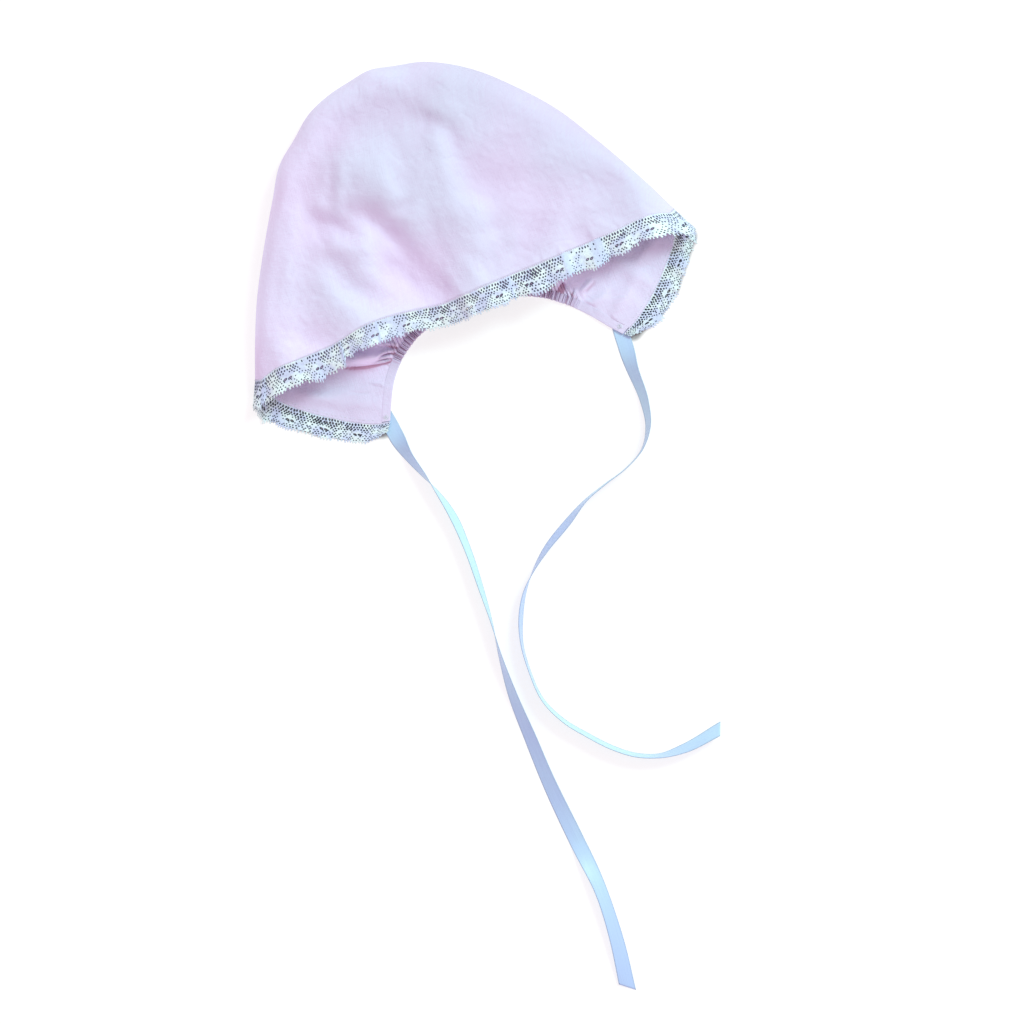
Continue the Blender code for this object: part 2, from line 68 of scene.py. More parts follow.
CASING = 4.6                        # width of the neck casing, and its height where it is plain
CASING_FLAT = 0.62
PLEAT_HIGH = 1.55                   # height of the shirring's pleats
SHIRR_FROM, SHIRR_TO = 0.165, 0.845  # shirred part, as shares of the neck edge, and where it fades
SHIRR_FADE = 0.05
END_BEND = 0.12                     # share of the neck edge that is bent to meet a flap
PLEATS = 56
PLEAT_REACH = 6.0                   # how far the pleats run into the cloth
JOINED = 2.4                        # pleats that join in one further in, their reach, start and height
JOINED_REACH = 20.0
JOINED_FROM = 5.0
JOINED_HIGH = 1.3
SEAM_HELD = 2.5                     # how far from the casing it holds the cloth's folds down

LACE_WIDTH = 12.1                   # from the seam to the tips of the picots
LACE_BODY = 10.8                    # from the seam to the picots' roots
REPEAT = 14.82                      # one repeat of the lace
FIRST_PAIR = 14.2                   # first pair of eyelets, from the left tie corner
NET = 11                            # openings of the net in one repeat
PICOTS = 11
PICOT_LONG = 0.92                   # from a picot's root to the middle of its tip, and half its width
PICOT_HALF = 0.31
SCALLOP = 0.3                       # rise and fall of the line that the picots stand on
NET_OPEN = 0.59                     # size of the net's openings, against their table
NET_LEAST = 0.30                    # an opening smaller than this share of its size is left out
NET_MISSED = 0.55                   # half this share of the openings below NET_LOWER is closed up
NET_LOWER = 5.0
TUCK_CLOSES = 0.38                  # share of an opening's size that is lost in a tuck
FLOWER_DOWN, FLOWER_HALF = 6.9, 2.45    # raised cord round the eyelets: down from the seam, half width
BLOB_DOWN, BLOB_HALF = 3.1, 1.25    # the same for the dense blob between them
CORD = 0.26                         # half width of the raised cord's bell
RUFFLE = 1.35                       # rise and fall of the lace's free edge
RAGGED = 0.07                       # unevenness of the free edge, as a share of the width
LACE_STEP = 0.203                   # fineness of the grid that the lace is cut out of
LACE_CUTS = (80.9, 155.0, 243.9)    # where the lace is divided into lengths, on dense work

RIM = 0.35                          # depth over which the lace's thread turns down into an opening, and its painted rim shade fades
LACE_SOLID = 0.30                   # depth at which the lace has its full thickness
LACE_THIN, LACE_THICK, CORD_THICK = 0.05, 0.13, 0.09    # half thickness at the rim, more inside, on a cord
HEM = 0.27                          # half thickness of the rolled edge between cloth and lace
HEM_PINCH = 0.12                    # share of it that a stitch draws in
STITCH = 0.95                       # from one whip stitch to the next
THREAD = 0.09                       # half thickness of the sewing thread
STITCH_POINTS = 9
STITCH_LEAN = 0.42                  # how far a whip stitch leans along the seam, in stitches
STITCH_WIDE = 1.25                  # its width, against a circle
HEM_IN = 1.8                        # hem stitches, in from a flap's edge, and from one to the next
RUNNING = 2.1
TACK_FROM, TACK_WIDE = 2.6, 2.6     # bar tack on a ribbon's sewn end, and its width
TACK_THREADS, TACK_STEP, TACK_LEAN = 7, 0.26, 0.12

RIBBON = 0.28                       # thickness of a ribbon
RIBBON_WIDTH = 7.0
SLANT = 2.1                         # how far each corner of a ribbon's free end is cut off the square
SLANT_FROM = 14.0                   # how far from the end the ribbon's weave starts to slant with it

VIEW_WIDTH = 460.8                  # what the camera takes in on the surface
VIEW_CENTRE = (-14.92, -88.9)
CAMERA_HEIGHT = 3000.0
CAMERA_TURN = -19.885               # degrees

KEY_HEADING = 28.0                  # the window light's place: degrees from +X, and up
KEY_HEIGHT = 42.0
KEY_AWAY = 5.0                      # metres
KEY_SIZE = 1.6
KEY_POWER = 164.0
KEY_COLOUR = (0.625, 1.0, 0.895)
SKY_COLOUR = (0.968, 0.820, 0.890)
SKY_STRENGTH = 0.88
FLOOR_HALF = 6.0                    # metres
FLOOR_GLOW = 0.68                   # the surface glows by itself, so that shadows on it are weak
COVER_REACH = 2.9                   # painted shadow under the flaps' lace: dark this far out, fading over the edge
COVER_EDGE = 2.5

# ------------------------------------------------------------------ colours, linear
COTTON_PALE = (0.717, 0.724, 0.905)
COTTON_DEEP = (0.710, 0.613, 0.82)  # random mottle, and painted shade in the hollows between folds and over the under layer
CREASE_SHADE = (0.46, 0.27, 0.40)        # painted shade deep inside a crease, where light only comes through cloth
LACE_WHITE = (0.86, 0.93, 0.98)
LACE_MILKY = (0.62, 0.70, 0.90)
LACE_CLEAR = (0.79, 0.93, 0.94)
LACE_TUCKED = (0.60, 0.71, 0.94)
LACE_SPECK = (0.26, 0.34, 0.50)     # small dark specks, scattered at random
LACE_RIM_SHADE = (0.01, 0.015, 0.045)    # painted shade where a thread turns down into an opening
SATIN_BLUE = (0.55, 0.72, 0.90)
SATIN_VIOLET = (0.44, 0.58, 0.88)
# cyan of painted sheen
SATIN_SHEEN_CYAN = (0.51, 0.78, 0.85)
SATIN_FLOATS = (0.36, 0.48, 0.72)
SATIN_EDGE = (0.30, 0.38, 0.52)
THREAD_WHITE = (0.80, 0.82, 0.90)
FLOOR_GREY = (0.36, 0.36, 0.36)

# ------------------------------------------------------------------ tables, millimetres
# outer line of the folded cloth, from the left corner round the back to the right corner
# columns: x, y
OUTLINE = [
    (-103.2, 6.0),
    (-97.4, 22.0),
    (-90.4, 39.0),
    (-80.6, 58.0),
    (-68.2, 79.5),
    (-60.0, 93.0),
    (-49.5, 102.0),
    (-40.0, 110.0),
    (-29.0, 114.9),
    (-18.0, 117.6),
    (-8.0, 119.4),
    (4.0, 117.3),
    (15.5, 115.0),
    (26.3, 110.2),
    (38.2, 102.4),
    (50.6, 91.0),
    (65.8, 74.0),
    (76.4, 57.4),
    (84.4, 43.8),
    (93.0, 28.0),
    (99.8, 14.3),
]

# forehead part of the face edge: cloth edge and the lace's free edge below it
# columns: cloth x, cloth y, lace x, lace y
FOREHEAD = [
    (-100.6, 5.2, -106.2, -6.6),
    (-92.5, 7.6, -95.0, -4.4),
    (-84.0, 8.0, -84.5, -3.4),
    (-72.0, 8.4, -72.5, -4.3),
    (-65.0, 8.9, -65.4, -3.8),
    (-62.0, 9.3, -62.8, -2.6),
    (-60.4, 9.7, -61.6, 0.5),
    (-57.5, 10.4, -58.6, 1.6),
    (-50.0, 11.9, -51.0, 1.6),
    (-38.0, 12.1, -39.0, 1.5),
    (-25.0, 10.8, -25.5, 0.6),
    (-13.0, 9.3, -13.0, -1.4),
    (0.0, 9.9, 0.5, -1.4),
    (20.0, 11.0, 20.0, -1.0),
    (38.0, 11.8, 38.0, -0.4),
    (50.0, 12.6, 50.5, 1.4),
    (59.0, 13.0, 59.0, 0.2),
    (64.0, 13.3, 63.9, 0.5),
    (66.0, 13.4, 65.9, 2.3),
    (70.0, 13.7, 70.0, 2.6),
    (84.0, 15.2, 85.0, 4.2),
    (91.0, 15.0, 94.5, 3.4),
    (97.3, 13.1, 104.3, 0.0),
]

# left flap of the face edge, left fold to left tie corner; columns as in FOREHEAD
LEFT_FLAP = [
    (-102.0, 3.4, -108.2, -9.4),
    (-98.0, -4.0, -106.0, -14.0),
    (-91.0, -11.2, -98.2, -19.2),
    (-80.0, -19.4, -85.6, -27.6),
    (-68.0, -26.7, -72.6, -35.6),
    (-59.0, -30.9, -62.6, -37.8),
    (-52.6, -32.2, -55.2, -36.0),
]

# right flap of the face edge, right fold to right tie corner; columns as in FOREHEAD
RIGHT_FLAP = [
    (98.8, 11.6, 105.8, -1.5),
    (95.2, 1.8, 102.4, -6.0),
    (87.6, -8.0, 94.8, -15.2),
    (78.6, -17.4, 86.4, -25.0),
    (68.6, -25.6, 74.6, -32.0),
    (59.6, -31.0, 62.4, -33.2),
]

# free edge of the neck casing, left tie corner over the nape to the right tie corner
# columns: x, y
NECK_EDGE = [
    (-52.6, -32.2),
    (-49.0, -23.6),
    (-44.4, -15.0),
    (-38.2, -7.8),
    (-29.0, -1.2),
    (-15.0, 3.6),
    (1.0, 4.8),
    (16.0, 2.8),
    (29.0, -2.0),
    (39.5, -9.2),
    (48.0, -17.6),
    (55.0, -26.0),
    (59.6, -31.0),
]

# soft folds of the top layer: a ridge, or a hollow where the height is below 0, along a bent line
# columns: x, y, heading in degrees, half length, half width, bend, height
# 55 of these 63 rows came out of separate fitting programs and were not chosen by hand
TOP_FOLDS = [
    (-21.4, 32.0, 112.0, 29.6, 9.0, -3.3, -5.00),
    (11.3, 60.7, 82.0, 38.0, 9.0, -7.0, 2.62),
    (62.5, 79.5, 127.0, 38.0, 6.5, 1.8, -2.10),
    (-51.0, 22.0, 118.0, 22.4, 9.0, -7.0, 2.86),
    (43.2, 46.7, 157.0, 38.0, 9.0, -0.6, -1.64),
    (-20.1, 67.2, 87.0, 17.0, 9.0, -3.1, 3.54),
    (-105.8, 15.0, 68.0, 17.0, 7.6, 7.0, -3.43),
    (30.6, 25.6, 32.0, 23.9, 9.0, 2.9, -2.40),
    (-30.9, 93.7, 23.0, 22.1, 9.0, -7.0, -2.43),
    (-50.0, 65.6, 129.0, 15.3, 9.0, -7.0, -3.50),
    (-32.4, 44.7, 123.0, 34.4, 4.1, 4.4, 1.37),
    (13.6, 66.9, 116.0, 38.0, 9.0, 7.0, -1.21),
    (-65.8, 61.9, 35.0, 23.1, 7.3, -7.0, 1.54),
    (-8.7, 57.0, 72.0, 20.1, 7.3, 2.6, 1.61),
    (60.0, 9.5, 107.0, 20.5, 6.4, -6.4, -1.56),
    (-53.9, 40.9, 120.0, 27.5, 6.4, -1.6, -1.13),
    (-40.6, 48.6, 159.0, 12.0, 6.9, -7.0, 2.28),
    (-31.5, 79.3, 80.0, 14.4, 8.4, 0.8, 1.85),
    (-87.0, 22.5, 80.0, 19.3, 7.2, -7.0, 1.31),
    (13.3, 81.4, 112.0, 12.7, 5.3, 4.1, -1.91),
    (13.2, 115.3, 163.0, 38.0, 2.6, -2.9, -0.64),
    (88.7, 20.3, 107.0, 16.6, 7.5, -7.0, 1.40),
    (-35.0, 37.6, 28.0, 12.5, 6.3, 0.2, 1.52),
    (23.0, 20.7, 52.0, 15.5, 4.2, 0.2, 1.17),
    (-0.3, 12.8, 49.0, 11.6, 9.0, 7.0, 1.50),
    (2.1, 104.9, 120.0, 24.9, 5.7, 7.0, 0.63),
    (38.4, 65.6, 23.0, 13.9, 9.0, 3.0, -1.12),
    (-27.4, 22.7, 32.0, 11.6, 7.8, 2.6, -0.90),
    (-71.6, 13.6, 149.0, 8.3, 6.9, -0.3, -1.23),
    (-41.9, 95.4, 98.0, 12.5, 7.1, -6.9, 0.74),
    (-0.7, 10.4, 117.0, 14.2, 3.2, -2.5, 0.65),
    (-38.3, 73.2, 62.0, 8.0, 3.4, -0.2, 1.14),
    (-7.8, 81.5, 101.0, 13.8, 4.0, -0.3, -0.59),
    (1.0, 41.8, 92.0, 22.4, 3.3, -3.2, 0.32),
    (16.4, 40.9, 64.0, 6.2, 5.2, 1.2, 1.11),
    (-16.5, 66.1, 100.0, 7.7, 4.3, -1.0, 0.81),
    (-32.5, 30.0, 127.0, 7.4, 3.8, 1.0, -0.56),
    (22.1, 27.0, 102.0, 9.7, 3.2, -0.2, -0.37),
    (-35.9, 43.5, 109.0, 6.3, 2.7, 0.7, 0.43),
    (-11.8, 110.3, 103.0, 4.1, 1.8, 0.3, 0.34),
    (-74.8, 52.5, 62.9, 38.0, 4.4, -2.0, -1.19),
    (14.3, 18.4, 49.1, 15.0, 9.0, -7.0, 1.25),
    (5.4, 103.1, 17.1, 17.3, 9.0, 7.0, -1.06),
    (-38.5, 73.7, 3.7, 19.2, 6.6, 2.1, -0.93),
    (0.4, 115.9, 162.0, 8.5, 5.5, -2.2, 1.79),
    (-48.6, 48.7, 94.0, 14.7, 8.4, 4.1, -0.96),
    (-4.0, 36.1, 13.4, 14.7, 9.0, 5.1, -0.91),
    (78.8, 25.9, 52.2, 10.8, 9.0, 7.0, -1.06),
    (9.8, 75.0, 87.7, 21.7, 3.8, 1.4, 0.43),
    (56.5, 32.4, 70.1, 12.3, 9.0, 4.0, 0.71),
    (-60.2, 33.2, 112.1, 27.1, 4.4, -4.5, -0.31),
    (-33.9, 45.4, 79.1, 20.2, 4.7, 0.4, 0.41),
    (-41.0, 76.1, 67.4, 11.5, 2.8, 1.0, -0.54),
    (9.5, 86.2, 173.4, 4.7, 3.9, 1.4, -0.89),
    (-14.3, 55.9, 5.9, 6.1, 2.9, 1.0, -0.65),
    (-28.5, 108.5, 96.0, 4.5, 0.5, 0.0, 0.30),
    (-25.0, 106.0, 92.0, 5.5, 0.5, 0.3, 0.28),
    (-12.5, 108.0, 88.0, 5.0, 0.5, 0.0, 0.26),
    (-8.0, 107.0, 93.0, 4.0, 0.5, 0.0, 0.24),
    (2.0, 108.0, 86.0, 4.5, 0.5, 0.2, 0.24),
    (61.0, 16.0, 100.0, 3.0, 0.8, 0.0, 0.35),
    (35.5, 14.5, 84.0, 3.0, 0.8, 0.0, -0.30),
    (45.0, 14.0, 95.0, 3.0, 0.8, 0.0, 0.30),
]

# painted light and shade on the top layer, correcting its shade: paler, or deeper where the amount is below
# 0, in round patches on a grid of even steps, one row here for each step along x, from the place given
# first below onwards all the amounts came out of a separate least-squares program; they do not stand for
# seen wear
TOP_PAINTED_FROM = (-95.0, 12.0)
TOP_PAINTED_STEP = 22.0
TOP_PAINTED_REACH = 24.0
TOP_PAINTED_AMOUNTS = [
    (0.006, 0.122),
    (0.099, -0.012, 0.049, 0.101),
    (-0.026, -0.110, 0.011, -0.016, 0.081),
    (0.024, 0.122, 0.043, -0.075, -0.006),
    (-0.009, 0.007, -0.112, 0.007, -0.066),
    (-0.025, -0.011, -0.014, -0.015, -0.062),
    (-0.013, -0.010, 0.052, -0.021, -0.129),
    (-0.012, 0.078, -0.103, -0.062),
    (-0.048, -0.120, -0.039),
]
TOP_PAINTED_LIGHT = [(TOP_PAINTED_FROM[0] + TOP_PAINTED_STEP * column, TOP_PAINTED_FROM[1] + TOP_PAINTED_STEP * row, TOP_PAINTED_REACH, amount)
         for column, amounts in enumerate(TOP_PAINTED_AMOUNTS) for row, amount in enumerate(amounts)]

# folds of the under layer, most of them running out of the gathers; columns as in TOP_FOLDS
# 30 of these 47 rows came out of a separate program, which bent them to given crease lines
UNDER_FOLDS = [
    (-54.5, -1.2, -15.0, 12.0, 3.2, 0.0, 3.4),
    (-41.0, 12.0, -45.0, 12.0, 5.5, 0.0, 2.2),
    (-22.5, 21.5, -66.0, 13.0, 5.5, 0.0, 2.4),
    (-1.0, 24.5, -86.0, 14.0, 5.5, 0.0, 2.2),
    (20.0, 21.5, 72.0, 13.0, 5.5, 0.0, 2.4),
    (43.0, 8.0, 40.0, 12.0, 5.5, 0.0, 2.4),
    (38.6, 1.0, 62.0, 3.2, 1.2, 0.0, 1.6),
    (52.0, -12.5, 8.0, 6.5, 2.0, 0.0, 0.9),
    (-54.1, -4.9, -12.6, 9.8, 0.55, 0.8, -3.40),
    (-57.2, -5.4, -16.4, 8.6, 1.80, 0.2, -1.00),
    (-42.2, -4.2, -19.2, 5.4, 0.50, -1.7, -2.20),
    (-41.8, -3.2, -19.9, 5.4, 0.90, -1.7, 1.40),
    (-44.2, -5.6, -16.1, 5.9, 0.45, -1.0, -1.80),
    (-42.2, -4.9, -18.4, 4.3, 0.80, -1.1, 1.20),
    (-42.5, -7.4, -16.2, 3.5, 0.50, -1.0, -2.00),
    (-42.4, -6.5, -17.8, 3.7, 0.70, -1.0, 1.10),
    (-39.4, -2.0, -36.8, 5.6, 0.60, -1.0, -1.70),
    (-39.1, -0.5, -34.1, 4.4, 0.90, -0.8, 1.00),
    (-32.6, -1.1, -63.1, 3.0, 0.50, 0.1, -1.80),
    (-35.7, -2.8, -36.6, 2.4, 0.40, 0.3, -1.20),
    (-43.5, -9.2, -41.7, 2.8, 0.50, 0.3, -1.30),
    (-43.4, -10.2, -48.7, 2.4, 0.50, 0.2, 0.50),
    (-50.3, -16.1, -25.6, 5.2, 0.50, 0.4, -0.55),
    (-50.0, -15.3, -23.6, 5.2, 1.20, 0.3, 0.50),
    (-61.0, -15.2, -21.7, 4.1, 0.60, 0.2, -0.40),
    (-54.7, -26.7, 12.1, 2.4, 0.60, -0.8, -0.45),
    (-53.1, -25.9, -64.9, 1.8, 0.70, -0.6, 0.50),
    (-71.9, -21.4, -43.1, 3.9, 0.90, 0.2, -0.40),
    (39.8, -1.9, 46.6, 2.7, 0.90, -0.4, -3.20),
    (40.2, -3.4, 57.5, 2.9, 0.70, -0.2, -3.00),
    (36.2, -5.9, 50.5, 1.6, 0.40, -0.0, -1.60),
    (38.2, -6.9, 62.3, 2.1, 0.40, 0.0, -1.80),
    (40.8, -7.5, 82.0, 2.1, 0.40, 0.7, -1.30),
    (42.9, -7.5, 55.3, 3.1, 0.45, -0.2, -2.20),
    (43.9, -7.5, 56.1, 3.1, 0.80, -0.1, 1.50),
    (44.5, -9.7, 68.1, 3.0, 0.45, 0.5, -1.00),
    (52.5, -5.8, 25.1, 3.7, 1.00, -0.0, -1.10),
    (51.0, -5.4, 27.4, 3.8, 1.60, -0.3, 1.50),
    (56.4, -25.4, -58.0, 4.0, 0.8, 0.0, 0.60),
    (57.6, -25.8, -64.0, 3.4, 0.5, 0.0, -0.6),
    (58.8, -24.6, -70.0, 3.4, 0.7, 0.0, 0.50),
    (-74.0, -12.6, -12.0, 15.0, 3.4, 0.0, 1.1),
    (-64.0, -19.0, -20.0, 12.0, 2.8, 1.5, 0.8),
    (-82.0, -9.0, -32.0, 9.0, 2.4, 0.0, 0.7),
    (73.0, -6.4, -58.0, 11.0, 3.4, 0.0, 1.2),
    (66.0, -15.0, 40.0, 10.0, 2.8, 0.0, 0.9),
    (82.0, 1.0, 30.0, 9.0, 3.0, 0.0, 1.0),
]

# such patches of painted light on the under layer, where it lies in shade; columns: x, y, reach, amount
UNDER_PAINTED_LIGHT = [
    (-46.0, -1.0, 11.0, 0.20),
    (-54.0, 2.0, 9.0, 0.40),
    (-40.0, 3.0, 7.0, 0.20),
    (44.0, -3.0, 9.0, 0.22),
    (56.0, 0.0, 11.0, 0.10),
    (66.0, -8.0, 14.0, 0.08),
]

# where the net is bolder, or finer where the amount is below 0; columns: along the seam, reach, amount
BOLD = [
    (12.0, 14.0, 0.06),
    (38.0, 22.0, 0.15),
    (66.0, 10.0, 0.11),
    (100.0, 12.0, -0.08),
    (130.0, 18.0, -0.16),
    (184.0, 5.0, 0.06),
    (196.0, 4.0, 0.08),
    (208.0, 6.0, 0.08),
    (233.0, 8.0, -0.12),
    (262.0, 8.0, -0.06),
    (300.0, 16.0, 0.09),
    (330.0, 12.0, 0.15),
]

# rows of openings in the lace's net, on a pitch of REPEAT / NET, every other row half a pitch along
# columns: down from the seam, half length along, half length down, shift in pitches, and the share
# of that size at a pair of eyelets, between, and at the dense blob
NET_ROWS = [
    (1.35, 0.32, 0.52, 0.0, 1.00, 0.95, 0.66),
    (2.70, 0.34, 0.45, 0.5, 0.85, 1.00, 0.62),
    (3.80, 0.35, 0.40, 0.0, 0.60, 1.05, 0.35),
    (4.84, 0.33, 0.35, 0.5, 0.35, 0.90, 0.70),
    (5.84, 0.24, 0.25, 0.0, 0.00, 0.70, 0.90),
    (6.85, 0.20, 0.20, 0.5, 0.00, 0.80, 0.80),
    (7.80, 0.19, 0.19, 0.0, 0.80, 0.70, 0.90),
    (8.80, 0.20, 0.20, 0.5, 0.95, 0.90, 0.85),
    (9.80, 0.24, 0.24, 0.0, 0.80, 0.95, 1.00),
]
EYELET = (1.03, 6.85, 0.60, 0.34, 25.0)     # along, down, half length, half width, lean in degrees

# places where the lace is caught into a small tuck; columns: along the seam, half width, height
TUCKS = [
    (75.9, 1.3, 0.45),
    (115.3, 1.0, 0.55),
    (134.5, 0.8, 0.30),
    (198.6, 0.9, 0.35),
    (225.8, 1.9, 0.50),
    (241.4, 3.5, 0.70),
]

# painted shadow under the two flaps' lace: along these lines the surface's glow is off; columns: x, y, to
# x, to y
SHADOW_UNDER_LACE = [
    (-102.0, -8.0, -83.0, -23.5),
    (-83.0, -23.5, -57.0, -34.0),
    (101.5, 1.0, 86.5, -17.5),
    (86.5, -17.5, 64.0, -31.0),
]

# painted sheen along a ribbon: how clear the blue is, from 0, the satin's own violet blue, to 1, a cyan of
# painted sheen; columns: share of its run, clearness
LEFT_SHEEN = [(0.0, 0.5), (0.12, 0.3), (0.20, 1.0), (0.34, 1.0), (0.43, 0.3), (0.58, 0.28),
             (0.74, 0.3), (0.82, 0.45), (0.90, 0.15), (1.0, 0.05)]
RIGHT_SHEEN = [(0.0, 0.4), (0.15, 0.5), (0.30, 0.5), (0.38, 0.1), (0.50, 0.05), (0.60, 0.1),
              (0.68, 0.75), (0.84, 0.75), (0.90, 0.4), (1.0, 0.45)]

# path of each ribbon's middle line on the surface, from under the tie corner to its free end
# columns: x, y, roll in degrees (0 lies flat, 90 stands on its edge)
LEFT_TIE = [
    (-54.4, -26.4, 0.0),
    (-53.0, -33.6, 0.0),
    (-52.6, -36.6, 3.0),
    (-50.6, -47.9, 50.0),
    (-46.3, -60.6, 78.0),
    (-44.0, -67.4, 97.0),
    (-40.6, -81.0, 117.0),
    (-39.4, -97.2, 114.0),
    (-39.7, -116.0, 108.0),
    (-40.4, -131.9, 96.0),
    (-41.9, -148.0, 79.0),
    (-42.6, -166.5, 56.0),
    (-41.7, -187.4, 40.0),
    (-40.8, -206.8, 31.0),
    (-37.9, -236.8, 2.0),
    (-35.3, -262.0, -36.0),
    (-36.1, -286.0, -28.0),
    (-38.8, -307.6, -6.0),
]
RIGHT_TIE = [
    (59.3, -23.6, 0.0),
    (58.7, -31.6, 0.0),
    (58.6, -34.6, 3.0),
    (57.9, -45.9, 40.0),
    (58.0, -62.3, 60.0),
    (55.9, -73.0, 73.0),
    (50.0, -82.0, 86.0),
    (40.1, -87.8, 89.0),
    (28.7, -91.4, 87.0),
    (18.2, -95.2, 82.0),
    (7.1, -101.7, 66.0),
    (-7.3, -110.6, 72.0),
    (-14.4, -116.6, 85.0),
    (-21.8, -124.8, 100.0),
    (-27.4, -135.1, 105.0),
    (-30.8, -145.8, 99.0),
    (-31.8, -158.5, 97.0),
    (-30.4, -173.8, 99.0),
    (-25.0, -185.0, 102.0),
    (-17.1, -194.8, 104.0),
    (-8.6, -203.8, 104.0),
    (0.2, -210.5, 103.0),
    (10.2, -214.5, 104.0),
    (21.4, -215.2, 122.0),
    (40.0, -212.4, 140.0),
]


# ------------------------------------------------------------------ small tools
def ease(x):
    """Smooth step from 0 to 1: three squares less two cubes."""
    x = np.clip(x, 0.0, 1.0)
    return x * x * (3 - 2 * x)


def unit(vectors):
    """Vectors scaled to length one."""
    return vectors / np.maximum(np.linalg.norm(vectors, axis=-1, keepdims=True), 1e-12)


def through(table):
    """Smooth curve through a table's rows. Each column is a cubic piece between rows, with slopes
    taken across the neighbouring rows; the first two columns are the place in plan.
    Returns a function of the share of the plan length."""
    rows = np.array(table, float)
    step = np.hypot(*np.diff(rows[:, :2], axis=0).T)
    knots = np.concatenate([[0.0], np.cumsum(step)])
    slope = np.gradient(rows, knots, axis=0)
    fine = np.linspace(0.0, knots[-1], 240 * len(rows))
    piece = np.clip(np.searchsorted(knots, fine, side="right") - 1, 0, len(step) - 1)
    size = step[piece][:, None]
    u = ((fine - knots[piece]) / step[piece])[:, None]
    values = ((1 + 2 * u) * (1 - u) ** 2 * rows[piece] + u * (1 - u) ** 2 * size * slope[piece]
              + u * u * (3 - 2 * u) * rows[piece + 1] + u * u * (u - 1) * size * slope[piece + 1])
    run = np.concatenate([[0.0], np.cumsum(np.hypot(*np.diff(values[:, :2], axis=0).T))])

    def at(share):
        place = np.asarray(share, float) * run[-1]
        return np.stack([np.interp(place, run, column) for column in values.T], axis=-1)

    at.length = run[-1]
    return at


def read_rows(where, at, rows):
    """Straight-line reading of a table of columns at places along it."""
    return np.stack([np.interp(where, at, column) for column in rows.T], axis=-1)


def stepped(stops):
    """Places in even steps between stops. Each stop is where it starts, where it ends and its number
    of places; the place shared by two stops comes once."""
    return np.concatenate([np.linspace(*stop)[min(k, 1):] for k, stop in enumerate(stops)])


def crossed(along, across):
    """Every pair of the first values with the second ones, row after row."""
    return np.stack(np.broadcast_arrays(along[:, None], across[None, :]), axis=-1).reshape(-1, 2)


def run_along(points):
    """Distance from the first point along a line of points."""
    return np.concatenate([[0.0], np.cumsum(np.linalg.norm(np.diff(points, axis=0), axis=1))])


def ripple(x, y, seed, longest, shortest, waves=26):
    """Gentle unevenness of soft cloth: the mean of plane sine waves with seeded directions, phases
    and wavelengths between the two limits, each wave's height in step with its wavelength."""
    draw = np.random.default_rng(seed)
    total = np.zeros(np.shape(x))
    for heading, phase, place in draw.random((waves, 3)):
        wavelength = shortest + (longest - shortest) * place
        along = x * math.cos(TURN * heading) + y * math.sin(TURN * heading)
        total += wavelength / longest * np.sin(TURN * (along / wavelength + phase))
    return total / math.sqrt(waves)


def fold_height(x, y, folds):
    """Sum of the folds at plan places. Each is a bell across a line that bends as a parabola, times
    a flat-topped bell along it."""
    total = np.zeros(np.shape(x))
    for middle_x, middle_y, heading, length, width, bend, high in folds:
        cos, sin = math.cos(math.radians(heading)), math.sin(math.radians(heading))
        along = ((x - middle_x) * cos + (y - middle_y) * sin) / length
        across = (y - middle_y) * cos - (x - middle_x) * sin - bend * (along ** 2 - 0.5)
        total += high * np.exp(-(across / width) ** 2 - 0.7 * along ** 4 - 0.3 * along ** 2)
    return total


def uneven(x, y, height, seed, longest, shortest):
    """Gentle unevenness of a given height."""
    return height * ripple(x, y, seed, longest, shortest)


def patches(x, y, table):
    """Sum of round soft patches at plan places: each is a bell of its reach and amount."""
    return sum(amount * np.exp(-((x - middle_x) ** 2 + (y - middle_y) ** 2) / reach ** 2)
               for middle_x, middle_y, reach, amount in table)


def over_ties(x, y):
    """Lift of the tie corners where they lie over the sewn ends of the ribbons."""
    lift = np.zeros(np.shape(x))
    for tie in (LEFT_TIE, RIGHT_TIE):
        start, corner = np.array(tie[0][:2]), np.array(tie[1][:2])
        along = corner + (corner - start) * 0.5 - start
        share = ((x - start[0]) * along[0] + (y - start[1]) * along[1]) / (along @ along)
        share = np.clip(share, 0.0, 1.0)
        away = np.hypot(x - start[0] - share * along[0], y - start[1] - share * along[1])
        lift = np.maximum(lift, TIE_LIFT * (1 - ease((away - TIE_CLEAR) / TIE_EASE)))
    return lift


def placed(points):
    """Millimetres from the face edge's middle to metres about the middle of the base."""
    return (np.asarray(points) - np.array([CENTRE[0], CENTRE[1], 0.0])) * MM


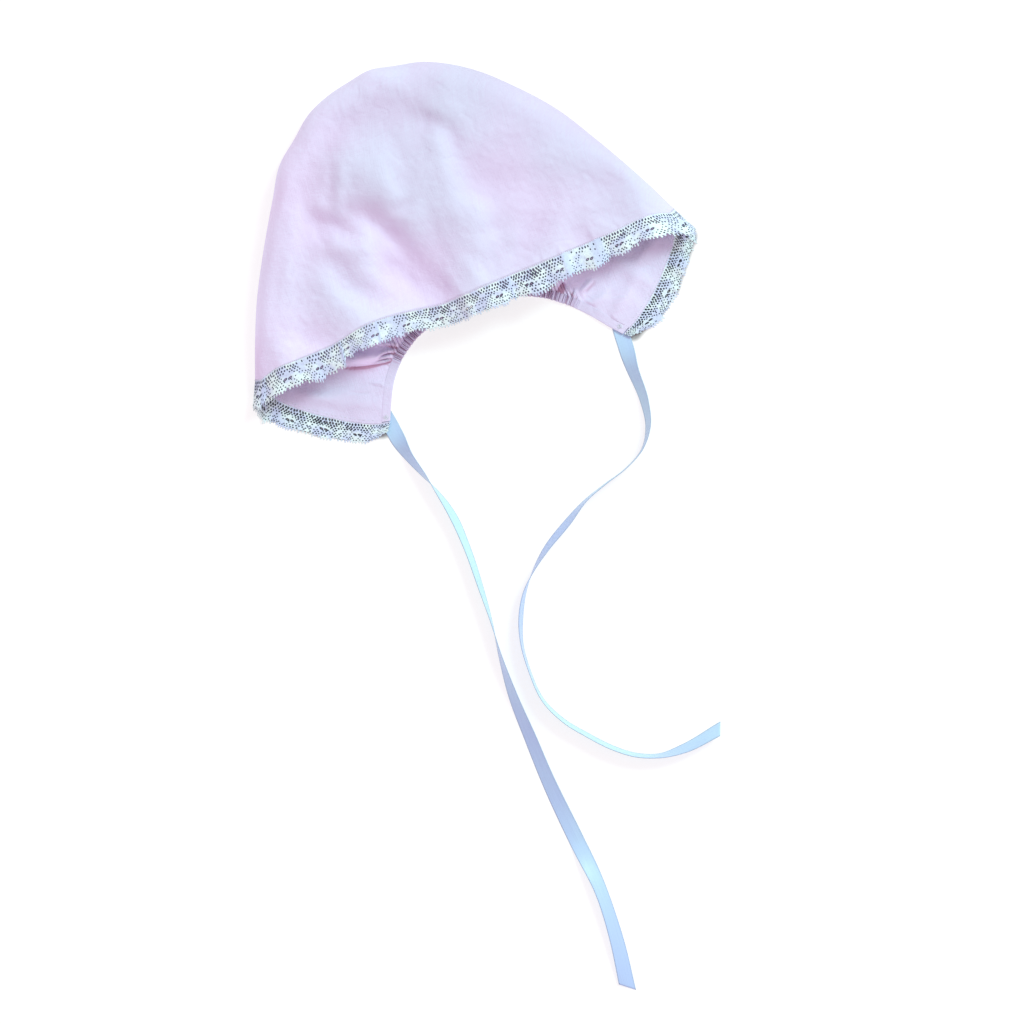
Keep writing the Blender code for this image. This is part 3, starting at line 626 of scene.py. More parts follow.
def make_piece(name, points, faces, finish, maps=None, layers=None):
    """Object from arrays: points in millimetres, faces as rows of three or four corners, a texture
    map with one pair for each point in metres, and named values at the points."""
    mesh = bpy.data.meshes.new(name)
    places = placed(points)
    mesh.vertices.add(len(places))
    mesh.vertices.foreach_set("co", places.astype(np.float32).ravel())
    groups = [np.asarray(f) for f in faces if len(f)]
    corners = np.concatenate([f.ravel() for f in groups])
    counts = np.concatenate([np.full(len(f), f.shape[1]) for f in groups])
    starts = np.concatenate([[0], np.cumsum(counts)[:-1]])
    mesh.loops.add(len(corners))
    mesh.loops.foreach_set("vertex_index", corners.astype(np.int32))
    mesh.polygons.add(len(counts))
    mesh.polygons.foreach_set("loop_start", starts.astype(np.int32))
    mesh.polygons.foreach_set("loop_total", counts.astype(np.int32))
    mesh.polygons.foreach_set("use_smooth", np.ones(len(counts), bool))
    if maps is not None:
        pairs = mesh.uv_layers.new(name="UVMap")
        pairs.data.foreach_set("uv", np.asarray(maps)[corners].astype(np.float32).ravel())
    for layer, values in (layers or {}).items():
        made = mesh.attributes.new(layer, "FLOAT", "POINT")
        made.data.foreach_set("value", np.asarray(values, np.float32).ravel())
    mesh.update(calc_edges=True)
    mesh.validate()
    mesh.materials.append(finish)
    piece = bpy.data.objects.new(name, mesh)
    bpy.context.scene.collection.objects.link(piece)
    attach(piece, "root")
    return piece


def grid_quads(count, rows, start=0, closed=False):
    """Faces of a grid of points stored row after row; closed joins the last row to the first."""
    number = start + np.arange(count * rows).reshape(count, rows)
    if closed:
        number = np.concatenate([number, number[:, :1]], axis=1)
    return np.stack([number[:-1, :-1], number[1:, :-1], number[1:, 1:], number[:-1, 1:]],
                    axis=-1).reshape(-1, 4)


def two_sided(grid, thick):
    """Closed sheet: the grid moved half the thickness each way along its normals, with walls all
    round its border. Returns its points and faces."""
    count, rows = grid.shape[:2]
    normal = unit(np.cross(np.gradient(grid, axis=0), np.gradient(grid, axis=1)))
    half = np.broadcast_to(np.asarray(thick) / 2, grid.shape[:2])[..., None]
    points = np.concatenate([grid + normal * half, grid - normal * half]).reshape(-1, 3)
    upper = grid_quads(count, rows)
    number = np.arange(count * rows).reshape(count, rows)
    ring = np.concatenate([number[:, 0], number[-1, 1:], number[-2::-1, -1], number[0, -2:0:-1]])
    after = np.roll(ring, -1)
    walls = np.stack([after, ring, ring + count * rows, after + count * rows], axis=-1)
    return points, np.concatenate([upper, upper[:, ::-1] + count * rows, walls])


def tube(line, across, up, section):
    """Closed tube: the section's points, as shares along the two side directions, carried along the
    line, with a fan at each end. The section turns anticlockwise seen against the line."""
    rings = line[:, None] + across[:, None] * section[..., :1] + up[:, None] * section[..., 1:]
    count, around = rings.shape[:2]
    ends = np.stack([rings[0].mean(axis=0), rings[-1].mean(axis=0)])
    points = np.concatenate([rings.reshape(-1, 3), ends])
    sides = grid_quads(count, around, closed=True)
    first = np.arange(around)
    last = first + (count - 1) * around
    middle = np.full(around, count * around)
    fans = np.concatenate([np.stack([np.roll(first, -1), middle, first], axis=-1),
                           np.stack([last, middle + 1, np.roll(last, -1)], axis=-1)])
    return points, [sides, fans]


# ------------------------------------------------------------------ camera, surface and light
def set_camera():
    """Looks straight down on the middle of the layout."""
    data = bpy.data.cameras.new("camera")
    data.sensor_width = 36.0
    data.lens = data.sensor_width * CAMERA_HEIGHT / VIEW_WIDTH
    data.clip_end = 100.0
    camera = bpy.data.objects.new("camera", data)
    middle = placed([*VIEW_CENTRE, CAMERA_HEIGHT])
    turned = Matrix.Rotation(math.radians(CAMERA_TURN), 4, "Z")
    camera.matrix_world = Matrix.Translation(middle) @ turned
    bpy.context.scene.collection.objects.link(camera)
    bpy.context.scene.camera = camera


def area_light(name, place, power, size, colour):
    """Square soft light that faces the bonnet."""
    data = bpy.data.lights.new(name, "AREA")
    data.energy = power
    data.size = size
    data.color = colour
    light = bpy.data.objects.new(name, data)
    light.location = place
    light.rotation_euler = (-Vector(place)).to_track_quat("-Z", "Y").to_euler()
    bpy.context.scene.collection.objects.link(light)


def set_light():
    """Soft window light across the cloth from beyond its right side, and an even pale surround."""
    heading, height = math.radians(KEY_HEADING), math.radians(KEY_HEIGHT)
    level = KEY_AWAY * math.cos(height)
    place = (level * math.cos(heading), level * math.sin(heading), KEY_AWAY * math.sin(height))
    area_light("window", place, KEY_POWER, KEY_SIZE, KEY_COLOUR)
    world = bpy.data.worlds.new("surround")
    world.use_nodes = True
    background = world.node_tree.nodes["Background"]
    background.inputs["Color"].default_value = (*SKY_COLOUR, 1.0)
    background.inputs["Strength"].default_value = SKY_STRENGTH
    bpy.context.scene.world = world
    bpy.context.scene.view_settings.view_transform = "Standard"
    bpy.context.scene.view_settings.look = "None"


# ------------------------------------------------------------------ finishes
class Value:
    """A node's output that can be used in sums, each of which adds a Math node."""

    def __init__(self, finish, output):
        self.finish = finish
        self.output = output

    def math(self, operation, first, second=0.0):
        return self.finish.node("ShaderNodeMath", {"operation": operation}, {0: first, 1: second})

    def __add__(self, other):
        return self.math("ADD", self, other)

    def __sub__(self, other):
        return self.math("SUBTRACT", self, other)

    def __rsub__(self, other):
        return self.math("SUBTRACT", other, self)

    def __mul__(self, other):
        return self.math("MULTIPLY", self, other)

    def __pow__(self, other):
        return self.math("POWER", self, other)

    __radd__ = __add__
    __rmul__ = __mul__

    def sine(self):
        return self.math("SINE", self)

    def clipped(self):
        """Value eased from 0 to 1 over that same range."""
        return self.node_range(0.0, 1.0)

    def held(self):
        """Value kept between 0 and 1."""
        return self.math("MINIMUM", self.math("MAXIMUM", self, 0.0), 1.0)

    def node_range(self, low, high):
        """Value eased from 0 at low to 1 at high."""
        settings = {"interpolation_type": "SMOOTHSTEP"}
        sockets = {"Value": self, "From Min": low, "From Max": high}
        return self.finish.node("ShaderNodeMapRange", settings, sockets)


class Finish:
    """A material under construction: a Principled shader with constants set on its own sockets."""

    def __init__(self, name, colour, **constants):
        self.material = bpy.data.materials.new(name)
        self.material.use_nodes = True
        self.tree = self.material.node_tree
        self.shader = self.tree.nodes["Principled BSDF"]
        self.shader.inputs["Base Color"].default_value = (*colour, 1.0)
        for socket, value in constants.items():
            self.shader.inputs[socket.replace("_", " ")].default_value = value

    def node(self, kind, settings, sockets, output=0):
        """Adds a node: its settings first, then the values or links of its sockets."""
        node = self.tree.nodes.new(kind)
        for key, value in settings.items():
            setattr(node, key, value)
        for key, value in sockets.items():
            if isinstance(value, Value):
                self.tree.links.new(value.output, node.inputs[key])
            else:
                node.inputs[key].default_value = value
        return Value(self, node.outputs[output])

    def place(self):
        """Object coordinates, in metres."""
        return self.node("ShaderNodeTexCoord", {}, {}, "Object")

    def woven(self):
        """The piece's own texture map, in metres of cloth, as two values."""
        pair = self.node("ShaderNodeTexCoord", {}, {}, "UV")
        return (self.node("ShaderNodeSeparateXYZ", {}, {0: pair}, 0),
                self.node("ShaderNodeSeparateXYZ", {}, {0: pair}, 1))

    def layer(self, name):
        """Named values that the mesh carries at its points."""
        return self.node("ShaderNodeAttribute", {"attribute_name": name}, {}, "Fac")

    def noise(self, place, scale, detail=2.0, roughness=0.5):
        """Soft noise from 0 to 1, of so many lumps to the metre."""
        sockets = {"Vector": place, "Scale": scale, "Detail": detail, "Roughness": roughness}
        return self.node("ShaderNodeTexNoise", {}, sockets, 0)

    def vector(self, x, y, z=0.0):
        """Place made of three values."""
        return self.node("ShaderNodeCombineXYZ", {}, {0: x, 1: y, 2: z})

    def near_lines(self, table):
        """1 on the table's straight lines, fading to 0 over COVER_EDGE beyond COVER_REACH of them."""
        place = self.place()
        x = self.node("ShaderNodeSeparateXYZ", {}, {0: place}, 0)
        y = self.node("ShaderNodeSeparateXYZ", {}, {0: place}, 1)
        clear = 1.0
        for row in table:
            start, end = placed([(*row[:2], 0.0), (*row[2:], 0.0)])[:, :2]
            along = (end - start) / ((end - start) @ (end - start))
            over_x, over_y = x - float(start[0]), y - float(start[1])
            share = (over_x * float(along[0]) + over_y * float(along[1])).held()
            off_x = over_x - share * float(end[0] - start[0])
            off_y = over_y - share * float(end[1] - start[1])
            away = (off_x * off_x + off_y * off_y) ** 0.5
            clear = clear * away.node_range(COVER_REACH * MM, (COVER_REACH + COVER_EDGE) * MM)
        return 1.0 - clear

    def blend(self, share, first, second):
        """Colour between two, by a share."""
        def full(colour):
            return colour if isinstance(colour, Value) else (*colour, 1.0)
        sockets = {0: share, 6: full(first), 7: full(second)}
        return self.node("ShaderNodeMix", {"data_type": "RGBA"}, sockets, 2)

    def feed(self, socket, value):
        """Links a value to one of the shader's sockets."""
        self.tree.links.new(value.output, self.shader.inputs[socket])

    def bump(self, height, distance, strength=1.0):
        """Height from 0 to 1, times the distance in metres, into the shader's normal."""
        sockets = {"Height": height, "Distance": distance, "Strength": strength}
        self.feed("Normal", self.node("ShaderNodeBump", {}, sockets))


def cotton(name, pale, deep):
    """Fine plain-woven cotton: warp and weft bumps, slubs, faint crumple and crinkles, and a mottled
    colour, with painted shade in the hollows and creases and painted light and shade in its patches."""
    thread = 0.00034
    cloth = Finish(name, pale, Roughness=0.88, Sheen_Weight=0.10, Sheen_Roughness=0.4,
                   Specular_IOR_Level=0.2)
    u, v = cloth.woven()
    place = cloth.place()
    warp = (u * (TURN / thread)).sine()
    weft = (v * (TURN / thread)).sine()
    over = warp * weft
    slub_u = cloth.noise(cloth.vector(u * 2400.0, v * 70.0), 1.0, 1.0)
    slub_v = cloth.noise(cloth.vector(u * 70.0, v * 2400.0, 7.0), 1.0, 1.0)
    slubs = slub_u + slub_v
    mottle = cloth.noise(place, 34.0, 3.0, 0.55)
    crumple = cloth.noise(place, 170.0, 4.0, 0.62)
    bent = cloth.noise(place, 58.0, 2.0, 0.5) - 0.5
    crinkle = ((bent * bent) ** 0.5).node_range(0.0, 0.07)
    where = cloth.noise(place, 21.0, 1.0).node_range(0.42, 0.62)
    # random mottle and slubs, with painted shade in the hollows between folds and painted light on the
    # ridges
    share = (mottle * 0.7 + slubs * 0.45 - cloth.layer("deep") * 0.5 - 0.30).clipped()
    colour = cloth.blend(share, deep, pale)
    # painted shade deep in the creases and in the shirring's grooves
    colour = cloth.blend(cloth.layer("crease").clipped(), colour, CREASE_SHADE)
    # painted light and shade in round patches
    painted_light_scale = {0: colour, 3: 1 + cloth.layer("painted_light")}
    cloth.feed("Base Color", cloth.node("ShaderNodeVectorMath", {"operation": "SCALE"}, painted_light_scale))
    cloth.feed("Roughness", 0.80 + slubs * 0.08)
    cloth.bump(over * 0.03 + slubs * 0.14 + crumple * 0.80 + crinkle * where * 0.22, 0.00055)
    return cloth.material


def lace_thread(name):
    """White cotton lace with a blue cast: painted near-black shade where it turns down into an opening,
    clear and milky patches, small dark specks scattered at random, and a fine twisted thread."""
    lace = Finish(name, LACE_WHITE, Roughness=0.75, Sheen_Weight=0.1, Specular_IOR_Level=0.25)
    u, v = lace.woven()
    rim = lace.layer("rim")
    place = lace.place()
    twist = ((u * 0.8 + v) * (TURN / 0.00042)).sine()
    patch = lace.noise(lace.vector(u * 150.0, v * 150.0), 1.0, 2.0)
    speck = lace.noise(lace.vector(u * 1150.0, v * 1150.0, 3.0), 1.0, 2.0, 0.6)
    white = lace.blend(patch.node_range(0.38, 0.62), LACE_MILKY, LACE_CLEAR)
    white = lace.blend(lace.layer("tuck") * 0.8, white, LACE_TUCKED)
    white = lace.blend(speck.node_range(0.54, 0.72) * 0.35, white, LACE_SPECK)
    # painted near-black shade where the thread turns down into an opening
    lace.feed("Base Color", lace.blend(rim.node_range(0.38, 0.84), LACE_RIM_SHADE, white))
    lace.bump(twist * 0.1 + lace.noise(place, 2600.0, 2.0) * 0.6, 0.00014)
    return lace.material


def satin(name):
    """Pale blue satin ribbon: long floats that shine, fine lengthwise stripes, tighter and darker
    along its two woven edges, a clearer cyan of painted sheen in some stretches and its own
    more violet blue in others."""
    ribbon = Finish(name, SATIN_BLUE, Roughness=0.36, Specular_IOR_Level=0.5, Sheen_Weight=0.1)
    u, v = ribbon.woven()
    ribs = (u * (TURN / 0.00045)).sine()
    floats = ribbon.noise(ribbon.vector(u * 60.0, v * 3600.0), 1.0, 2.0)
    tone = ribbon.noise(ribbon.vector(u * 40.0, v * 90.0), 1.0, 2.0)
    tone = (ribbon.layer("tone") + (tone - 0.5) * 0.6).clipped()
    # the clear cyan stretches are painted sheen
    colour = ribbon.blend(tone, SATIN_VIOLET, SATIN_SHEEN_CYAN)
    colour = ribbon.blend(floats.node_range(0.35, 0.75) * 0.35, colour, SATIN_FLOATS)
    edge = ((v * v) ** 0.5).node_range(0.0027, 0.0034)
    ribbon.feed("Base Color", ribbon.blend(edge * 0.45, colour, SATIN_EDGE))
    ribbon.feed("Roughness", 0.28 + floats * 0.22)
    ribbon.bump(ribs * 0.06 + floats * 0.5, 0.0001)
    return ribbon.material


def sewing_thread(name, colour):
    """Matt sewing thread with its twist."""
    thread = Finish(name, colour, Roughness=0.65, Sheen_Weight=0.1)
    place = thread.place()
    tone = thread.noise(place, 900.0, 2.0)
    dark = tuple(0.8 * part for part in colour)
    thread.feed("Base Color", thread.blend(tone.node_range(0.3, 0.7), dark, colour))
    thread.bump(thread.noise(place, 5200.0, 1.0), 0.00005)
    return thread.material


# ------------------------------------------------------------------ lines the cloth hangs on
outline = through(OUTLINE)
forehead = through(FOREHEAD)
left_flap = through(LEFT_FLAP)
right_flap = through(RIGHT_FLAP)
neck_edge = through(NECK_EDGE)

TUCKED = 3.9                        # how far inside the neck edge the under layer ends, in the casing
LEFT_STOP = 1.0 - TUCKED / left_flap.length
RIGHT_STOP = 1.0 - TUCKED / right_flap.length


def casing_inner(share, inset):
    """Line inside the neck edge by the inset, bent at its ends to meet the two flaps."""
    step = 0.004

    def beside(share):
        after = neck_edge(np.clip(share + step, 0, 1))
        ahead = unit(after - neck_edge(np.clip(share - step, 0, 1)))
        return neck_edge(share) + inset * np.stack([-ahead[..., 1], ahead[..., 0]], axis=-1)

    share = np.asarray(share, float)
    left_move = left_flap(1.0 - inset / left_flap.length)[:2] - beside(np.array(0.0))
    right_move = right_flap(1.0 - inset / right_flap.length)[:2] - beside(np.array(1.0))
    near_left = (1 - ease(share / END_BEND))[..., None]
    near_right = (1 - ease((1 - share) / END_BEND))[..., None]
    return beside(share) + near_left * left_move + near_right * right_move


def lower_edge(s):
    """Edge of the under layer in plan for s from -1 (left fold) to 1 (right fold)."""
    s = np.asarray(s, float)
    left = left_flap(np.clip((s + 1) / (1 - TIE_SPLIT), 0, 1) * LEFT_STOP)[..., :2]
    right = right_flap(np.clip((1 - s) / (1 - TIE_SPLIT), 0, 1) * RIGHT_STOP)[..., :2]
    middle = casing_inner(np.clip((s + TIE_SPLIT) / (2 * TIE_SPLIT), 0, 1), TUCKED)
    place = s[..., None]
    return np.where(place < -TIE_SPLIT, left, np.where(place > TIE_SPLIT, right, middle))


def neck_share(s):
    """Share of the neck edge for s inside the nape."""
    return (s + TIE_SPLIT) / (2 * TIE_SPLIT)


CREASE_FULL = 2.2                   # depth of a hollow that counts as 1 in the painted crease shade
GROOVE_DARK = 0.8                   # painted shade in a groove of the shirring, against such a crease
HOLLOW_FULL = 4.0                   # depth between the top layer's folds that counts as 1 in its painted shade
UNDER_PAINTED_SHADE = 0.2                    # even painted shade over all of the under layer, on the same scale


def creases(x, y, folds):
    """How deep a place lies in the hollows of a table of folds, about 0 to 1."""
    return -fold_height(x, y, [fold for fold in folds if fold[-1] < 0]) / CREASE_FULL


def gathered(share):
    """1 where the neck edge is shirred, 0 where it is plain."""
    return ease((share - SHIRR_FROM) / SHIRR_FADE) * ease((SHIRR_TO - share) / SHIRR_FADE)


def pleat_wave(share, grouping=1.0):
    """Height of the shirring's pleats, 0 in a groove to 1 on a ridge: a raised cosine whose pitch
    wanders a little; grouping above 1 joins that many pleats in one."""
    turns = PLEATS * (share - SHIRR_FROM) / (SHIRR_TO - SHIRR_FROM) / grouping
    turns = turns + 0.35 / grouping * np.sin(9.0 * turns + 1.0) * np.sin(1.7 * turns)
    return (0.5 + 0.5 * np.cos(TURN * turns)) ** 0.55


def near_seam(from_seam, reach):
    """1 at the seam, fading inwards: e to the power of -(distance / reach) to the power of 1.5."""
    return np.exp(-(from_seam / reach) ** 1.5)


def crown_surface(s, q):
    """Middle surface of the cloth. s runs left to right; q runs from the edge of the under layer (-1)
    round the fold (0) to the face edge of the top layer (1).
    Each s has a plan line from the outline to the edge. Going in from the outline by "away", the
    cloth turns a quarter circle, then the top layer rises by each height of SWELL times one less e
    to the power of -away / length, lowered near the face edge, and the under layer settles on the
    surface. The folds, the gathers and a fine unevenness are added to the height."""
    s, q = np.broadcast_arrays(s, q)
    share = (1 + s) / 2
    rim = outline(share)
    inner = np.where((q > 0)[..., None], forehead(share)[..., :2], lower_edge(s))
    span = np.hypot(*np.moveaxis(inner - rim, -1, 0))
    radius = FOLD_RADIUS + (BACK_RADIUS - FOLD_RADIUS) * (1 - s * s)
    radius = np.minimum(radius, span)
    bend = np.clip(np.pi / 2 * radius / (np.pi / 2 * radius + span - radius), 0.2, 1.0)
    turn = np.pi / 2 * np.clip(np.abs(q) / bend, 0.0, 1.0)
    rest = np.where(bend < 1, (np.abs(q) - bend) / np.maximum(1 - bend, 1e-6), 0.0)
    away = radius * (1 - np.cos(turn)) + (span - radius) * np.clip(rest, 0.0, 1.0)
    plan = rim + (inner - rim) * (away / span)[..., None]
    x, y = plan[..., 0], plan[..., 1]

    swell = sum(high * (1 - np.exp(-away / length)) for high, length in SWELL)
    swell = swell * (1 - FRONT_DROP * np.exp(-((span - away) / FRONT_REACH) ** 2))
    settle = ease(away / FOLD_CLEAR)
    top = radius + radius * np.sin(turn) + swell + FOLD_GAIN * settle * fold_height(x, y, TOP_FOLDS)
    top = top + settle * sum(uneven(x, y, *wave) for wave in TOP_UNEVEN)

    from_seam = span - away
    neck = neck_share(s)
    nape = np.abs(s) < TIE_SPLIT
    gather = gathered(neck) * nape
    fine = pleat_wave(neck) * near_seam(from_seam, PLEAT_REACH)
    joined = pleat_wave(neck, JOINED) * near_seam(from_seam, JOINED_REACH) * ease(from_seam / JOINED_FROM)
    free = settle * (1 - (1 - ease(from_seam / SEAM_HELD)) * nape)
    lying = CLOTH / 2 + over_ties(x, y) + free * np.maximum(fold_height(x, y, UNDER_FOLDS), 0.0)
    lying = lying + gather * (PLEAT_HIGH * fine + JOINED_HIGH * joined)
    lying = lying + settle * np.maximum(uneven(x, y, *UNDER_UNEVEN), 0.0)
    low = radius + (lying - radius) * np.sin(turn)
    return np.stack([x, y, np.where(q > 0, top, low)], axis=-1)


# ------------------------------------------------------------------ crown
def make_cloth(name, s, q, lift=0.0):
    """Closed panel of the bonnet's cotton over a grid of s and q. Its points carry the values of its
    painted shade, how deep they lie between folds and how far down in a crease, and of its painted light
    and shade in patches."""
    grid = crown_surface(s[:, None], q[None, :])
    grid[..., 2] += lift
    points, faces = two_sided(grid, CLOTH)
    points[:, 2] = np.maximum(points[:, 2], 0.0)
    flat = np.concatenate([grid.reshape(-1, 3)] * 2)
    upright = 0.7                   # share of a rise that the weave runs on over
    maps = np.stack([flat[:, 0] + upright * flat[:, 2], flat[:, 1] + upright * flat[:, 2]], axis=-1) * MM
    x, y, on_top = grid[..., 0], grid[..., 1], q[None, :] > 0
    neck = neck_share(s)[:, None]
    from_seam = np.hypot(*np.moveaxis(grid[..., :2] - lower_edge(s)[:, None], -1, 0))
    groove = gathered(neck) * (1 - pleat_wave(neck)) * near_seam(from_seam, PLEAT_REACH)
    # painted shade in the hollows and creases, painted light and shade in patches
    layers = {
        "deep": np.where(on_top, -fold_height(x, y, TOP_FOLDS) / HOLLOW_FULL, UNDER_PAINTED_SHADE),
        "painted_light": np.where(on_top, patches(x, y, TOP_PAINTED_LIGHT), patches(x, y, UNDER_PAINTED_LIGHT)),
        "crease": np.where(on_top, 0.0, creases(x, y, UNDER_FOLDS) + GROOVE_DARK * groove),
    }
    layers = {layer: np.tile(values.ravel(), 2) for layer, values in layers.items()}
    return make_piece(name, points, [faces], COTTON, maps, layers)


def make_crown():
    """Top panel, from its lap round the fold to the face edge, and under panel, from the gathers and
    the flaps to the lap. The under panel rises by a cloth's thickness over the other's edge. The
    grids are dense where the shape turns quickly."""
    q = stepped([(-LAP, 0.24, 25), (0.24, 0.93, 86), (0.93, 1.0, 9)])
    top = make_cloth("crown_top", np.linspace(-1.0, 1.0, 262), q)
    s = stepped([(-1.0, -0.56, 32), (-0.56, -0.14, 190), (-0.14, 0.17, 96), (0.17, 0.5, 150),
                 (0.5, 1.0, 34)])
    q = stepped([(-1.0, -0.80, 48), (-0.80, -0.68, 17), (-0.68, -LAP + 0.04, 17)])
    lift = 1.05 * CLOTH * (1 - ease((-q - LAP) / 0.10))
    under = make_cloth("crown_under", s, q, lift[None, :])
    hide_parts("crown")
    return top, under


# ------------------------------------------------------------------ lace, hem and casing
def face_edge():
    """Cloth edge and free edge of the lace, all along the face edge from the left tie corner to the
    right one: six columns, the cloth edge first. The cloth edge is the crown's own edge."""
    def flap_rows(line, stop, side):
        share = np.concatenate([np.linspace(0.0, stop, 120), np.linspace(stop, 1.0, 8)[1:]])
        row = line(share)
        s = side * (1 - (1 - TIE_SPLIT) * np.minimum(share / stop, 1.0))
        cloth = np.column_stack([row[:, :2], crown_surface(s, np.full(len(s), -1.0))[:, 2]])
        free_high = CLOTH / 2 + over_ties(row[:, 2], row[:, 3])
        return np.column_stack([cloth, row[:, 2:], free_high])

    def corner_rows(side, table_row):
        q = side * np.linspace(1.0, -1.0, 41)[1:-1]
        turn = crown_surface(np.full(len(q), side), q)
        lead = np.array(table_row[2:]) - np.array(table_row[:2])
        return np.column_stack([turn, turn[:, :2] + lead, turn[:, 2]])

    s = np.linspace(-1.0, 1.0, 400)
    high = crown_surface(s, np.ones(len(s)))
    droop = LACE_DROOP * ease((1 - np.abs(s)) / DROOP_REACH)
    front = np.column_stack([high, forehead((1 + s) / 2)[:, 2:], high[:, 2] - droop])
    return np.concatenate([
        flap_rows(left_flap, LEFT_STOP, -1.0)[::-1],
        corner_rows(-1.0, FOREHEAD[0]),
        front,
        corner_rows(1.0, FOREHEAD[-1]),
        flap_rows(right_flap, RIGHT_STOP, 1.0),
    ])


def dice(number, seed):
    """A fixed scatter from -1 to 1 for whole numbers: the broken part of a steep sine."""
    return 2 * np.mod(43758.5453 * np.sin(12.9898 * number + 78.233 * seed), 1.0) - 1


def bolder(a):
    """Sum of the bells of BOLD along the seam."""
    return sum(amount * np.exp(-((a - middle) / reach) ** 2) for middle, reach, amount in BOLD)


def tucked(a):
    """1 in the middle of a tuck of the lace, 0 outside them."""
    return sum(np.exp(-((a - middle) / half) ** 4) for middle, half, _ in TUCKS)


def lace_place(a, v):
    """Middle surface of the lace at a along the seam and v away from it: a straight line from the
    cloth edge to the free edge. Towards the free edge it is ruffled: waves lift it, move it along
    and lengthen it, and each tuck stands up with one steep side. It stays clear of the surface."""
    share = np.maximum(v / LACE_WIDTH, 0.0)
    near = read_rows(a, SEAM_RUN, SEAM)[..., :3]
    slip = 0.55 * ripple(a, v * 0.2, 13, 16.0, 7.0) * share
    far = read_rows(a + slip, SEAM_RUN, SEAM)[..., 3:]
    reach = share * (1 + 0.075 * ripple(a, v * 0.1, 14, 20.0, 3.5) * share)
    reach = reach * (1 + RAGGED * ripple(a, 0.0 * a, 21, 5.0, 2.4) * share ** 3)
    place = near * (1 - reach)[..., None] + far * reach[..., None]
    waves = ripple(a, v * 0.3, 3, 17.0, 5.5)
    lift = RUFFLE * share ** 1.3 * waves + 0.10 * ripple(a, v, 15, 4.0, 1.6) * share
    for middle, half, high in TUCKS:
        beside = (a - middle) / half
        steep = 0.62 + 0.38 * np.tanh(2 * beside)
        lift = lift + high * (0.25 + 0.75 * share) * np.exp(-beside ** 4) * steep
    least = CLOTH / 2 + 0.25 * ease(lift) + 0.12 * lift * (lift > 0)
    place[..., 2] = np.maximum(place[..., 2] + lift, least)
    return place


def inside_opening(along, down, half_a, half_v, lean):
    """About the depth inside an oval opening: one less the scaled distance from its middle, times
    its smaller half length."""
    across = (along * np.cos(lean) - down * np.sin(lean)) / half_a
    beside = (along * np.sin(lean) + down * np.cos(lean)) / half_v
    return (1 - np.hypot(across, beside)) * np.minimum(half_a, half_v)


def thread_depth(a, v):
    """How far a place is inside the thread of the lace, below 0 in an opening: the distance to the
    scalloped edge or to a picot, less what the nearest opening of each row takes away. Openings
    differ a little in size, place and lean."""
    run = a - FIRST_PAIR
    scallop = SCALLOP * np.cos(TURN * run / REPEAT)
    depth = LACE_BODY + scallop - v
    pitch = REPEAT / PICOTS
    which = np.floor(run / pitch + 0.5)
    tooth = run - which * pitch - 0.12 * dice(which, 1.0)
    past = v - LACE_BODY + 0.2 - scallop
    beyond = np.maximum(past - PICOT_LONG - 0.25 * dice(which, 2.0), 0.0) + np.minimum(past, 0.0)
    depth = np.maximum(depth, PICOT_HALF + 0.05 * dice(which, 3.0) - np.hypot(tooth, beyond))
    pitch = REPEAT / NET
    for row, (down, half_a, half_v, shift, *shares) in enumerate(NET_ROWS):
        which = np.floor(run / pitch - shift + 0.5)
        middle = (which + shift) * pitch
        from_pair = np.abs(np.mod(middle + REPEAT / 2, REPEAT) - REPEAT / 2) / (REPEAT / 2)
        size = np.interp(from_pair, (0.0, 0.5, 1.0), shares) * (1 + 0.22 * dice(which, row + 4.0))
        size = size * (NET_OPEN + bolder(middle + FIRST_PAIR) + 0.10 * np.sin(middle / 7.3))
        size = size * (1 - TUCK_CLOSES * np.minimum(tucked(middle + FIRST_PAIR), 1.0))
        lean = 0.30 * dice(which, row + 20.0) + 0.25 * np.sin(TURN * middle / REPEAT)
        along = run - middle - 0.15 * dice(which, row + 40.0)
        beside = v - down - 0.16 * dice(which, row + 60.0) - 0.22 * np.sin(TURN * middle / REPEAT + row)
        drawn = np.maximum(size, 0.1)
        opening = inside_opening(along, beside, half_a * drawn, half_v * drawn, lean)
        here = (size > NET_LEAST) & (dice(which, row + 80.0) > NET_MISSED * (down > NET_LOWER) - 1)
        depth = np.where(here, np.minimum(depth, -opening), depth)
    along, down, half_a, half_v, lean = EYELET
    u = np.mod(run + REPEAT / 2, REPEAT) - REPEAT / 2
    for side in (-1.0, 1.0):
        opening = inside_opening(u - side * along, v - down, half_a, half_v, math.radians(lean))
        depth = np.minimum(depth, -opening)
    return depth


def raised_cord(a, v):
    """Relief of the thicker outlining cord, 0 to 1: bells about the flower round the eyelets, the
    edge of the blob and a line along the free edge."""
    u = np.mod(a - FIRST_PAIR + REPEAT / 2, REPEAT) - REPEAT / 2
    angle = np.arctan2(v - FLOWER_DOWN, u)
    flower = np.hypot(u, v - FLOWER_DOWN) - (FLOWER_HALF + 0.35 * np.cos(6 * angle))
    blob = np.hypot(np.abs(u) - REPEAT / 2, v - BLOB_DOWN) - BLOB_HALF
    edge = v - LACE_BODY + 0.55 - SCALLOP * np.cos(TURN * u / REPEAT)
    return sum(np.exp(-(line / CORD) ** 2) for line in (flower, blob, edge))


